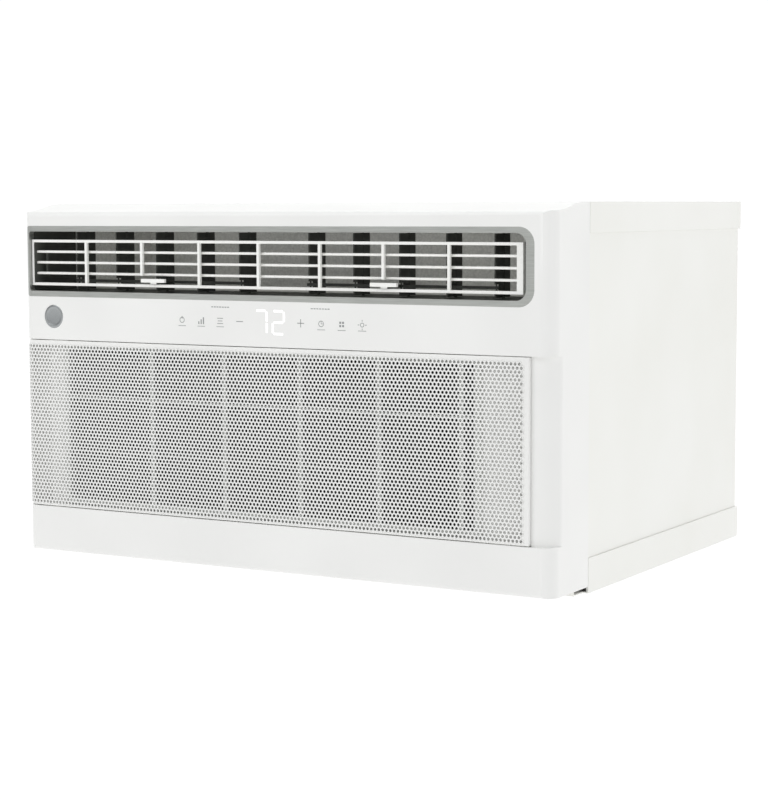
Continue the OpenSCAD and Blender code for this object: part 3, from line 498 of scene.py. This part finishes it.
def perforatedTree():
    tree, given = startTree("perforated sheet", {
        "Columns": "Int", "Rows": "Int", "Pitch": "Float", "Row Spacing": "Float", "Hole Diameter": "Float",
        "Thickness": "Float", "Right End": "Float", "First Row": "Float", "Material": "Material"})

    # one cell: a rectangle with a point in the middle of each side, round a twelve-sided hole
    side = addNode(tree, "GeometryNodeCurvePrimitiveQuadrilateral", None,
                   {"Width": given["Pitch"], "Height": given["Row Spacing"]}).outputs[0]
    side = addNode(tree, "GeometryNodeSubdivideCurve", None, {"Curve": side, "Cuts": 1}).outputs[0]
    radius = addNode(tree, "ShaderNodeMath", multiply, {0: given["Hole Diameter"], 1: 0.5}).outputs[0]
    hole = addNode(tree, "GeometryNodeCurvePrimitiveCircle", None,
                   {"Resolution": 12, "Radius": radius}).outputs[0]
    both = addNode(tree, "GeometryNodeJoinGeometry")
    for curve in (side, hole):
        tree.links.new(curve, both.inputs[0])
    cell = addNode(tree, "GeometryNodeFillCurve", None, {"Curve": both.outputs[0]}).outputs[0]

    # staggered points: every other row moves half a pitch to the left
    index = addNode(tree, "GeometryNodeInputIndex").outputs[0]
    count = addNode(tree, "ShaderNodeMath", multiply, {0: given["Columns"], 1: given["Rows"]}).outputs[0]
    points = addNode(tree, "GeometryNodePoints", None, {"Count": count}).outputs[0]
    passed = addNode(tree, "ShaderNodeMath", divide, {0: index, 1: given["Columns"]}).outputs[0]
    row = addNode(tree, "ShaderNodeMath", floor, {0: passed}).outputs[0]
    column = addNode(tree, "ShaderNodeMath", modulo, {0: index, 1: given["Columns"]}).outputs[0]
    oddRow = addNode(tree, "ShaderNodeMath", modulo, {0: row, 1: 2.0}).outputs[0]
    halfStep = addNode(tree, "ShaderNodeMath", multiply, {0: oddRow, 1: 0.5}).outputs[0]
    steps = addNode(tree, "ShaderNodeMath", add, {0: column, 1: halfStep}).outputs[0]
    leftward = addNode(tree, "ShaderNodeMath", multiply, {0: steps, 1: given["Pitch"]}).outputs[0]
    across = addNode(tree, "ShaderNodeMath", subtract, {0: given["Right End"], 1: leftward}).outputs[0]
    upward = addNode(tree, "ShaderNodeMath", multiply, {0: row, 1: given["Row Spacing"]}).outputs[0]
    height = addNode(tree, "ShaderNodeMath", add, {0: given["First Row"], 1: upward}).outputs[0]
    spot = addNode(tree, "ShaderNodeCombineXYZ", None, {"X": across, "Z": height}).outputs[0]
    points = addNode(tree, "GeometryNodeSetPosition", None, {"Geometry": points, "Position": spot}).outputs[0]
    cells = addNode(tree, "GeometryNodeInstanceOnPoints", None,
                    {"Points": points, "Instance": cell, "Rotation": (math.pi / 2, 0, 0)}).outputs[0]
    sheet = addNode(tree, "GeometryNodeRealizeInstances", None, {"Geometry": cells}).outputs[0]
    sheet = addNode(tree, "GeometryNodeMergeByDistance", None,
                    {"Geometry": sheet, "Distance": 2e-5}).outputs[0]

    # thickness: the pushed copy becomes the front and the walls of the holes, the flipped sheet the back
    push = addNode(tree, "GeometryNodeExtrudeMesh", {"mode": "FACES"},
                   {"Mesh": sheet, "Offset Scale": given["Thickness"], "Individual": False})
    back = addNode(tree, "GeometryNodeFlipFaces", None, {"Mesh": sheet}).outputs[0]
    solid = addNode(tree, "GeometryNodeJoinGeometry")
    for part in (push.outputs[0], back):
        tree.links.new(part, solid.inputs[0])
    solid = addNode(tree, "GeometryNodeMergeByDistance", None,
                    {"Geometry": solid.outputs[0], "Distance": 1e-5}).outputs[0]
    solid = addNode(tree, "GeometryNodeSetMaterial", None,
                    {"Geometry": solid, "Material": given["Material"]}).outputs[0]
    addNode(tree, "NodeGroupOutput", None, {0: solid})
    return tree


sheetTree = perforatedTree()
for i, columns in enumerate(door["sheets"]):
    rightEnd = door["lastHole"] - sum(door["sheets"][:i]) * door["pitch"]
    sheet = grown(sheetTree, {
        "Columns": columns, "Rows": door["rows"], "Pitch": door["pitch"] * mm,
        "Row Spacing": door["row"] * mm, "Hole Diameter": door["hole"] * mm, "Thickness": door["field"] * mm,
        "First Row": door["firstRow"] * mm, "Right End": rightEnd * mm,
        "Material": finishes["cover_plastic"]}, f"perforated sheet {i + 1}")
    print("sheet", i + 1, len(sheet.polygons), "faces")
    place(bendRound(sheet), sheet.name, "intake_door")


def doorMargin():  # every lattice square round the holes, made thick, with only its outside edges rounded
    half = door["pitch"] / 2
    leftEnd = pivotX - doorOuter * math.pi / 2 - (door["wrapEnd"] - door["corner"])
    firstEdge = door["lastHole"] + half
    steps = 2 * sum(door["sheets"])
    edgesX = [doorRight] + [firstEdge - half * i for i in range(steps + 2)]
    while edgesX[-1] - half > leftEnd + 0.4:
        edgesX.append(edgesX[-1] - half)
    edgesX.append(leftEnd)
    bottom = door["firstRow"] - door["row"] / 2
    edgesZ = [doorZ[0]] + [bottom + door["row"] * j for j in range(door["rows"] + 1)] + [doorZ[1]]
    shape = bmesh.new()
    grid = [[shape.verts.new(Vector((x, 0, z)) * mm) for z in edgesZ] for x in edgesX]
    for i in range(len(edgesX) - 1):
        for j in range(len(edgesZ) - 1):
            shift = 1 if (j - 1) % 2 else 0  # rows that start half a pitch further left
            if not (1 <= j <= door["rows"] and 1 + shift <= i < 1 + shift + steps):
                shape.faces.new([grid[i][j], grid[i][j + 1], grid[i + 1][j + 1], grid[i + 1][j]])
    bmesh.ops.delete(shape, geom=[v for v in shape.verts if not v.link_faces], context="VERTS")
    fronts = list(shape.faces)
    backs = bmesh.ops.duplicate(shape, geom=list(shape.verts) + list(shape.edges) + fronts)
    for vertex in (v for v in backs["geom"] if isinstance(v, bmesh.types.BMVert)):
        vertex.co.y += door["thick"] * mm
    pairs = backs["vert_map"]
    border = [e for e in shape.edges if len(e.link_faces) == 1 and all(v.co.y == 0 for v in e.verts)]
    for edge in border:
        a, b = edge.verts
        shape.faces.new([a, b, pairs[b], pairs[a]])
    bmesh.ops.recalc_face_normals(shape, faces=shape.faces)
    weight = shape.edges.layers.float.new("bevel_weight_edge")
    for edge in shape.edges:
        mid = (edge.verts[0].co + edge.verts[1].co) / 2 / mm
        toOutline = min(abs(mid.z - doorZ[0]), abs(mid.z - doorZ[1]),
                        abs(mid.x - doorRight), abs(mid.x - leftEnd))
        level = abs(edge.verts[0].co.y - edge.verts[1].co.y) < 1e-6
        if toOutline < 1e-3 and level and edge.calc_face_angle(0) > 1:
            edge[weight] = 1
    return softened(toMesh(shape, "door margin"), door["edge"], 3, byWeight=True)


def doorFittings():  # return flange at the free end, hub discs and hinge pins, all with moulded radii
    front, pivot = frontY / mm, (pivotX, pivotY, 0)
    back = front + door["inset"] + door["thick"]
    sink, ribEnd, lastRib = fittings["sink"], fittings["ribEnd"], fittings["ribs"] - 1
    shape = bmesh.new()
    slab(shape, (doorRight - fittings["returnThick"], doorRight),
         (back - sink, front + fittings["returnDepth"]), (doorZ[0] + sink, doorZ[1] - sink))
    for k in range(fittings["ribs"]):  # stiffening ribs inside the return
        z = doorZ[0] + ribEnd + k * (doorZ[1] - doorZ[0] - 2 * ribEnd) / lastRib
        slab(shape, (doorRight - fittings["ribReach"], doorRight - fittings["ribLeave"]),
             (back - sink, back + fittings["ribRise"]), (z - fittings["ribHalf"], z + fittings["ribHalf"]))
    for end, inward in ((doorZ[0], 1), (doorZ[1], -1)):
        for radius, start, finish, sides in ((fittings["hub"], 0.15, fittings["hubThick"], 72),
                                             (fittings["boss"], 2.9, fittings["bossEnd"], 32),
                                             (fittings["pin"], -door["pinOut"], 1, 32)):
            rod(shape, pivot, radius, sorted((end + start * inward, end + finish * inward)), sides=sides)
    return softened(toMesh(shape, "door return and hinge"), sink)


place(bendRound(doorMargin()), "door margin", "intake_door")
place(doorFittings(), "door return and hinge", "intake_door")
print("door done")


# badge: spun disc with a shallow dish and a rolled edge

badgeLow, badgeHigh = boxOf("badge")
badgeMid = ((badgeLow.x + badgeHigh.x) / 2, badgeLow.y, (badgeLow.z + badgeHigh.z) / 2)
r = (badgeHigh.x - badgeLow.x) / 2
badgeProfile = [(0, 0.32), (r - 4.4, 0.3), (r - 3.4, 0.22), (r - 2.9, 0.02), (r - 2.2, 0), (r - 0.5, 0.05),
                (r - 0.12, 0.25), (r - 0.02, 0.6), (r - 0.02, 1.4), (0, 1.4)]
finishes["badge_metal"] = spunSteel([c * mm for c in badgeMid])
place(smoothed(toMesh(turned(badgeProfile, badgeMid), "badge"), 60), "badge", "badge")


# control strip: generic marks printed on the cover, and a display glowing through it

strip = {"height": 272.2, "power": -110.5, "fan": -85.6, "airflow": -61.0, "less": -36, "more": 40.3,
         "timer": 65.3, "mode": 90.1, "night": 114.6, "underline": 9.6, "underDrop": 6.2, "line": 0.7,
         "proud": 0.06, "sunk": 0.3, "digits": ((-8.9, "abc"), (12.6, "abged")),
         "dashes": ((-71, 287), (54, 287.6)), "dashCount": 7, "dashPitch": 3.4}
segments = {"a": (0, 1, 1), "g": (0, 0, 1), "d": (0, -1, 1), "f": (-1, 0.5, 0), "b": (1, 0.5, 0),
            "e": (-1, -0.5, 0), "c": (1, -0.5, 0)}  # across, up, and 1 where the segment lies flat


def stripMarks():
    y = (frontY / mm - strip["proud"], frontY / mm + strip["sunk"])
    z, line = strip["height"], strip["line"]
    printed, lit = bmesh.new(), bmesh.new()

    def bar(shape, x, z, wide, tall):
        slab(shape, (x - wide / 2, x + wide / 2), y, (z - tall / 2, z + tall / 2))

    def ringMark(x, z, radius):
        for k in range(24):
            a, b = (2 * math.pi * (k + s) / 24 for s in (0, 1))
            corners = [(x + q * math.cos(t), z + q * math.sin(t)) for q, t in
                       ((radius, a), (radius, b), (radius - line, b), (radius - line, a))]
            printed.faces.new([printed.verts.new(Vector((p[0], y[0], p[1])) * mm) for p in corners])

    for key in ("power", "fan", "airflow", "timer", "mode", "night"):
        bar(printed, strip[key], z - strip["underDrop"], strip["underline"], 0.6)
    ringMark(strip["power"], z, 3.2)  # power: ring and stem
    bar(printed, strip["power"], z + 2.8, 0.8, 3)
    for k in range(3):  # fan speed: three rising bars
        bar(printed, strip["fan"] + 3 * (k - 1), z - 2.5 + 1.1 * k, 1.4, 3 + 2.2 * k)
    for k in range(3):  # airflow: three level lines
        bar(printed, strip["airflow"], z + 2.8 - 2.8 * k, 7.5 - 1.5 * (k % 2), line)
    ringMark(strip["timer"], z, 3.3)  # timer: ring and hands
    bar(printed, strip["timer"], z + 1.3, 0.6, 2.8)
    bar(printed, strip["timer"] + 1.1, z, 2.4, 0.6)
    for k in range(4):  # mode: a small square of squares
        bar(printed, strip["mode"] - 1.7 + 3.4 * (k % 2), z - 1.7 + 3.4 * (k // 2), 2.2, 2.2)
    ringMark(strip["night"], z, 2.4)  # night: small ring with rays
    for dx, dz in ((0, 4.4), (0, -4.4), (4.4, 0), (-4.4, 0)):
        bar(printed, strip["night"] + dx, z + dz, 1.8 if dx else line, line if dx else 1.8)
    for key in ("less", "more"):  # step down and step up
        bar(printed, strip[key], z, 8.5, 0.8)
    bar(printed, strip["more"], z, 0.8, 8.5)
    for k in range(strip["dashCount"]):  # two rows of dashes above the keys
        for x, height in strip["dashes"]:
            bar(printed, x + strip["dashPitch"] * k, height, 2.6, 0.9)

    for x, shown in strip["digits"]:
        for name in shown:
            dx, dz, flat = segments[name]
            bar(lit, x + dx * 7, z + dz * 12, 11.5 if flat else 2.2, 2.2 if flat else 10.2)
    return toMesh(printed, "printed marks"), toMesh(lit, "display segments")


marks, digits = stripMarks()
place(marks, "printed marks", "front_cover", ink, replaced=[])
place(digits, "display segments", "front_cover", glow, replaced=[])
print("control strip done")


# coils: corrugated fins on a pitch, with the tubes through them, end plates and return bends

def finTree():
    tree, given = startTree("fin pack", {
        "Start": "Vector", "Count": "Int", "Pitch": "Float", "Depth": "Float", "Height": "Float",
        "Folds": "Int", "Fold Height": "Float", "Fin Thickness": "Float", "Material": "Material"})
    folds = addNode(tree, "ShaderNodeMath", add, {0: given["Folds"], 1: 1.0}).outputs[0]
    fin = addNode(tree, "GeometryNodeMeshGrid", None,
                  {"Size X": given["Depth"], "Size Y": given["Height"], "Vertices X": folds, "Vertices Y": 2})
    index = addNode(tree, "GeometryNodeInputIndex").outputs[0]
    halved = addNode(tree, "ShaderNodeMath", multiply, {0: index, 1: 0.5}).outputs[0]
    column = addNode(tree, "ShaderNodeMath", floor, {0: halved}).outputs[0]
    odd = addNode(tree, "ShaderNodeMath", modulo, {0: column, 1: 2.0}).outputs[0]
    rise = addNode(tree, "ShaderNodeMath", multiply, {0: odd, 1: given["Fold Height"]}).outputs[0]
    lift = addNode(tree, "ShaderNodeCombineXYZ", None, {"Z": rise}).outputs[0]
    fin = addNode(tree, "GeometryNodeSetPosition", None,
                  {"Geometry": fin.outputs[0], "Offset": lift}).outputs[0]
    back = addNode(tree, "GeometryNodeFlipFaces", None, {"Mesh": fin}).outputs[0]
    thick = addNode(tree, "GeometryNodeExtrudeMesh", {"mode": "FACES"},
                    {"Mesh": fin, "Offset Scale": given["Fin Thickness"], "Individual": False})
    solid = addNode(tree, "GeometryNodeJoinGeometry")
    for part in (thick.outputs[0], back):
        tree.links.new(part, solid.inputs[0])
    stepX = addNode(tree, "ShaderNodeCombineXYZ", None, {"X": given["Pitch"]}).outputs[0]
    line = addNode(tree, "GeometryNodeMeshLine", None,
                   {"Count": given["Count"], "Start Location": given["Start"], "Offset": stepX}).outputs[0]
    upright = (math.pi / 2, 0, math.pi / 2)
    fins = addNode(tree, "GeometryNodeInstanceOnPoints", None,
                   {"Points": line, "Instance": solid.outputs[0], "Rotation": upright}).outputs[0]
    fins = addNode(tree, "GeometryNodeRealizeInstances", None, {"Geometry": fins}).outputs[0]
    fins = addNode(tree, "GeometryNodeMergeByDistance", None, {"Geometry": fins, "Distance": 1e-6}).outputs[0]
    fins = addNode(tree, "GeometryNodeSetMaterial", None,
                   {"Geometry": fins, "Material": given["Material"]}).outputs[0]
    addNode(tree, "NodeGroupOutput", None, {0: fins})
    return tree


coilMake = {"finPitch": 2.1, "folds": 8, "foldHeight": 0.6, "finThick": 0.14, "plate": 1.2, "flange": 9,
            "bendReach": 17.25, "firstRow": 19.5, "rowStep": 25, "endRoom": 30, "tube": 4.75, "bendTube": 4.4,
            "tubeOut": 2.5, "bendOut": 2.4, "bendSteps": 12, "bendSides": 16}
finPack = finTree()


def returnBend(pipes, centre, outward):  # half a ring from one row to the next, closed at both ends
    steps, sides, tube = coilMake["bendSteps"], coilMake["bendSides"], coilMake["bendTube"]
    rings = []
    for a in range(steps + 1):
        angle = math.pi * a / steps
        out = Vector((outward, 0, 0)) * math.sin(angle) + Vector((0, 0, 1)) * math.cos(angle)
        rings.append([pipes.verts.new((centre + out * (coilMake["rowStep"] / 2 + tube * math.cos(b))
                                       + Vector((0, tube * math.sin(b), 0))) * mm)
                      for b in (2 * math.pi * q / sides for q in range(sides))])
    for ringA, ringB in zip(rings, rings[1:]):
        for q in range(sides):
            pipes.faces.new([ringA[q], ringA[q - 1], ringB[q - 1], ringB[q]])
    for mouth in (rings[0], rings[-1]):
        pipes.faces.new(mouth)


def coil(node):
    lowest, highest = boxOf(node)
    plate, flange, firstRow, rowStep = (coilMake[k] for k in ("plate", "flange", "firstRow", "rowStep"))
    x0, x1 = lowest.x + coilMake["bendReach"], highest.x - coilMake["bendReach"]
    middle = (lowest.y + highest.y) / 2
    place(grown(finPack, {
        "Start": ((x0 + flange / 2) * mm, middle * mm, (lowest.z + highest.z) / 2 * mm),
        "Count": int((x1 - x0 - flange) / coilMake["finPitch"]), "Pitch": coilMake["finPitch"] * mm,
        "Depth": (highest.y - lowest.y) * mm, "Height": (highest.z - lowest.z) * mm,
        "Folds": coilMake["folds"], "Fold Height": coilMake["foldHeight"] * mm,
        "Fin Thickness": coilMake["finThick"] * mm,
        "Material": finishes["aluminium_fins"]}, node + " fins"), node + " fins", node)
    plates, pipes = bmesh.new(), bmesh.new()
    for x, inward in ((x0, 1), (x1 - plate, -1)):  # end plates with flanged edges
        slab(plates, (x, x + plate), (lowest.y, highest.y), (lowest.z, highest.z))
        reach = (x, x + flange) if inward > 0 else (x + plate - flange, x + plate)
        for y in (lowest.y, highest.y - plate):
            slab(plates, reach, (y, y + plate), (lowest.z, highest.z))
    place(softened(toMesh(plates, node + " end plates"), 0.3), node + " end plates", node,
          finishes["galvanised_steel"])
    turns = int((highest.z - lowest.z - coilMake["endRoom"]) / (2 * rowStep))
    for j in range(2 * turns):
        rod(pipes, (0, middle, lowest.z + firstRow + rowStep * j), coilMake["tube"],
            (x0 - coilMake["tubeOut"], x1 + coilMake["tubeOut"]), "X", 20)
    for side, end, outward in ((0, x0, -1), (1, x1, 1)):  # the right side has one bend fewer
        for k in range(turns - side):
            height = lowest.z + firstRow + rowStep * (side + 0.5 + 2 * k)
            returnBend(pipes, Vector((end + outward * coilMake["bendOut"], middle, height)), outward)
    bmesh.ops.recalc_face_normals(pipes, faces=pipes.faces)
    place(smoothed(toMesh(pipes, node + " tubes"), 50), node + " tubes", node, finishes["copper"])


for node in ("evaporator", "condenser"):
    coil(node)
print("coils done")


# filter net: woven threads across the frame

def netTree():
    tree, given = startTree("thread row", {
        "Start": "Vector", "Step": "Vector", "Count": "Int", "Thread Size": "Vector", "Material": "Material"})
    line = addNode(tree, "GeometryNodeMeshLine", None,
                   {"Count": given["Count"], "Start Location": given["Start"],
                    "Offset": given["Step"]}).outputs[0]
    thread = addNode(tree, "GeometryNodeMeshCube", None, {"Size": given["Thread Size"]}).outputs[0]
    threads = addNode(tree, "GeometryNodeInstanceOnPoints", None,
                      {"Points": line, "Instance": thread}).outputs[0]
    threads = addNode(tree, "GeometryNodeRealizeInstances", None, {"Geometry": threads}).outputs[0]
    threads = addNode(tree, "GeometryNodeSetMaterial", None,
                      {"Geometry": threads, "Material": given["Material"]}).outputs[0]
    addNode(tree, "NodeGroupOutput", None, {0: threads})
    return tree


net = {"pitch": 1.9, "wide": 0.35, "deep": 0.28, "warpDepth": 0.16, "weftDepth": 0.44, "edge": 0.2}
threadRow = netTree()
netLow, netHigh = boxOf("filter_mesh")
netSpan = netHigh - netLow
for name, step, size, depth in (
        ("net warp", (net["pitch"], 0, 0), (net["wide"], net["deep"], netSpan.z), net["warpDepth"]),
        ("net weft", (0, 0, net["pitch"]), (netSpan.x, net["deep"], net["wide"]), net["weftDepth"])):
    spanned = netSpan.x if step[0] else netSpan.z
    start = (netLow.x + (net["edge"] if step[0] else netSpan.x / 2), netLow.y + depth,
             netLow.z + (net["edge"] if step[2] else netSpan.z / 2))
    place(grown(threadRow, {
        "Start": [c * mm for c in start], "Step": [c * mm for c in step],
        "Count": int((spanned - 2 * net["edge"]) / net["pitch"]) + 1, "Thread Size": [c * mm for c in size],
        "Material": finishes["filter_net"]}, name), name, "filter_mesh")
print("net done")


# condenser fan: hub, five swept blades and the slinger ring

fan = {"blades": 5, "root": 27, "tipGap": 3, "sweep": 14, "chord": 46, "chordMore": 58, "rootPitch": 31,
       "untwist": 13, "camber": 3.2, "flatten": 0.62, "thick": 1.4, "cells": 8, "bore": 6.35}


def bladeRow(t, turn, tip, y0, y1):  # points across one blade at t of the way from root to tip
    radius = fan["root"] + (tip - fan["root"] - fan["tipGap"]) * t
    chord = fan["chord"] + fan["chordMore"] * math.sin(math.pi * min(t * 0.75 + 0.1, 1))
    pitch = math.radians(fan["rootPitch"] - fan["untwist"] * t)
    row = []
    for j in range(fan["cells"] + 1):
        s = j / fan["cells"] - 0.5
        along = chord * s * math.cos(pitch)
        rise = chord * s * math.sin(pitch) + fan["camber"] * (1 - 4 * s * s)
        angle = math.radians(turn + fan["sweep"] * t) + along / radius
        depth = min(max((y0 + y1) / 2 + rise * fan["flatten"], y0 + 0.5), y1 - 1.5)
        row.append((radius * math.cos(angle), depth, radius * math.sin(angle)))
    return row


def fanBlades():
    lowest, highest = boxOf("condenser_fan")
    axisX, axisZ = (lowest.x + highest.x) / 2, (lowest.z + highest.z) / 2
    tip, y0, y1 = (highest.x - lowest.x) / 2, lowest.y, highest.y
    deep, n, bore = y1 - y0, fan["cells"], fan["bore"]
    shape = bmesh.new()
    for k in range(fan["blades"]):
        rows = [bladeRow(i / n, 360 / fan["blades"] * k, tip, y0, y1) for i in range(n + 1)]
        front, back = ([[shape.verts.new(Vector((axisX + x, y + push, axisZ + z)) * mm) for x, y, z in row]
                        for row in rows] for push in (0, fan["thick"]))
        for i in range(n):
            for j in range(n):
                shape.faces.new([front[i][j], front[i][j + 1], front[i + 1][j + 1], front[i + 1][j]])
                shape.faces.new([back[i][j], back[i + 1][j], back[i + 1][j + 1], back[i][j + 1]])
        rim = [(0, j) for j in range(n)] + [(i, n) for i in range(n)]
        rim += [(n, j) for j in range(n, 0, -1)] + [(i, 0) for i in range(n, 0, -1)]
        for (a, b), (c, d) in zip(rim, rim[1:] + rim[:1]):
            shape.faces.new([front[a][b], back[a][b], back[c][d], front[c][d]])
    bmesh.ops.recalc_face_normals(shape, faces=shape.faces)
    hub = turned([(bore, 2), (bore, 0), (24, 0), (28, 3), (29, 8), (29, deep), (26.5, deep), (26, 10),
                  (11, 7), (10, deep), (bore, deep), (bore, 2)], (axisX, y0, axisZ))
    ring = turned([(tip - 4, deep - 5), (tip - 0.5, deep - 5), (tip, deep - 4.5), (tip, deep),
                   (tip - 4, deep), (tip - 4, deep - 5)], (axisX, y0, axisZ), 120)
    for part, name in ((shape, "fan blades"), (hub, "fan hub"), (ring, "slinger ring")):
        place(smoothed(toMesh(part, name), 40), name, "condenser_fan")


fanBlades()
print("fan done")


# screws: pan heads with a crossed recess over a threaded shank

screw = {"headRise": 2, "headRadius": 4, "spacing": 3.3, "threads": 7, "threadPitch": 0.8, "root": 1.4,
         "crest": 1.8, "cross": ((3.2, 0.7), (0.7, 3.2)), "crossDepth": (1.7, 2.02), "edge": 0.08}


def screws():
    lowest, highest = boxOf("case_screws")
    face, across = highest.y - screw["headRise"], highest.x - screw["headRadius"]
    inner = halfWidth / mm / screw["spacing"]
    recess = [face + depth for depth in screw["crossDepth"]]
    profile = [(0, 2), (0.9, 2), (2.6, 1.8), (3.5, 1.2), (3.95, 0.3), (4, 0), (1.8, 0), (1.8, -0.3)]
    for turn in range(screw["threads"]):
        drop = screw["threadPitch"] * turn
        profile += [(screw["root"], -0.6 - drop), (screw["crest"], -1.0 - drop)]
    profile += [(1.2, -5.8), (0, -6)]
    whole = bmesh.new()
    for x in (-across, -inner, inner, across):
        for z in (lowest.z + screw["headRadius"], highest.z - screw["headRadius"]):
            mesh = toMesh(turned(profile, (x, face, z), 24), "screw")
            whole.from_mesh(mesh)
            bpy.data.meshes.remove(mesh)
            for wide, tall in screw["cross"]:
                slab(whole, (x - wide / 2, x + wide / 2), recess, (z - tall / 2, z + tall / 2))
    return softened(toMesh(whole, "case screws"), screw["edge"], 1)


place(screws(), "case screws", "case_screws")
print("screws done")


# floor, light and the rest: each lamp has its place, what it points at, its size in metres and its watts

studio = {"sweepHalf": 14.0, "sweepFront": -14.0, "sweepBack": 2.2, "curve": 0.8, "sweepTop": 4.0,
          "below": 0.001, "paperGlow": 0.97, "sky": 0.42}
lamps = {
    "soft box, front left": ((-1.4, -2.7, 2.1), (0, 0, 0.2), (1.8, 1.6), 36),
    "soft box, right": ((3.2, -0.9, 1.3), (0.2, 0, 0.2), (1.8, 2.2), 17),
    "soft box, overhead": ((0, 0.3, 2.6), (0, 0, 0.4), (2.4, 2.0), 30),
    "spill inside the plenum": ((-0.01, frontY + 0.095, 0.333), (-0.01, frontY + 0.23, 0.333),
                                (0.56, 0.05), 0.045)}


def light(name, place, target, sizeM, watts):
    data = bpy.data.lights.new(name, "AREA")
    data.shape, data.size, data.size_y = "RECTANGLE", sizeM[0], sizeM[1]
    data.energy = watts
    lamp = bpy.data.objects.new(name, data)
    lamp.location = place
    lamp.rotation_euler = (Vector(target) - Vector(place)).to_track_quat("-Z", "Y").to_euler()
    bpy.context.scene.collection.objects.link(lamp)


def surroundings():  # a glowing white sweep under and behind, a soft sky, three soft boxes and a small spill
    back, curve, half = studio["sweepBack"], studio["curve"], studio["sweepHalf"]
    profile = [(studio["sweepFront"], -studio["below"]), (back, -studio["below"])]
    for degrees in range(10, 91, 10):
        angle = math.radians(degrees)
        profile.append((back + curve * math.sin(angle), curve * (1 - math.cos(angle)) - studio["below"]))
    profile.append((back + curve, studio["sweepTop"]))
    sweep = bmesh.new()
    rows = [[sweep.verts.new((x, y, z)) for x in (-half, half)] for y, z in profile]
    for a, b in zip(rows, rows[1:]):
        sweep.faces.new([a[0], a[1], b[1], b[0]])
    mesh = toMesh(sweep, "paper sweep")
    floor = bpy.data.objects.new("paper sweep", mesh)
    bpy.context.scene.collection.objects.link(floor)
    paper = startMaterial("lit white paper", "404040", 0.8)
    raiseBy(paper, noise(paper, 3, 2), 0.02)
    paper["shader"].inputs["Emission Color"].default_value = toLinear("FFFFFF")
    paper["shader"].inputs["Emission Strength"].default_value = studio["paperGlow"]
    mesh.materials.append(paper["material"])
    world = bpy.data.worlds.new("studio")
    world.use_nodes = True
    world.node_tree.nodes["Background"].inputs["Color"].default_value = toLinear("F4F6F8")
    world.node_tree.nodes["Background"].inputs["Strength"].default_value = studio["sky"]
    bpy.context.scene.world = world
    for name, settings in lamps.items():
        light(name, *settings)
    bpy.context.scene.view_settings.view_transform = "Standard"


surroundings()
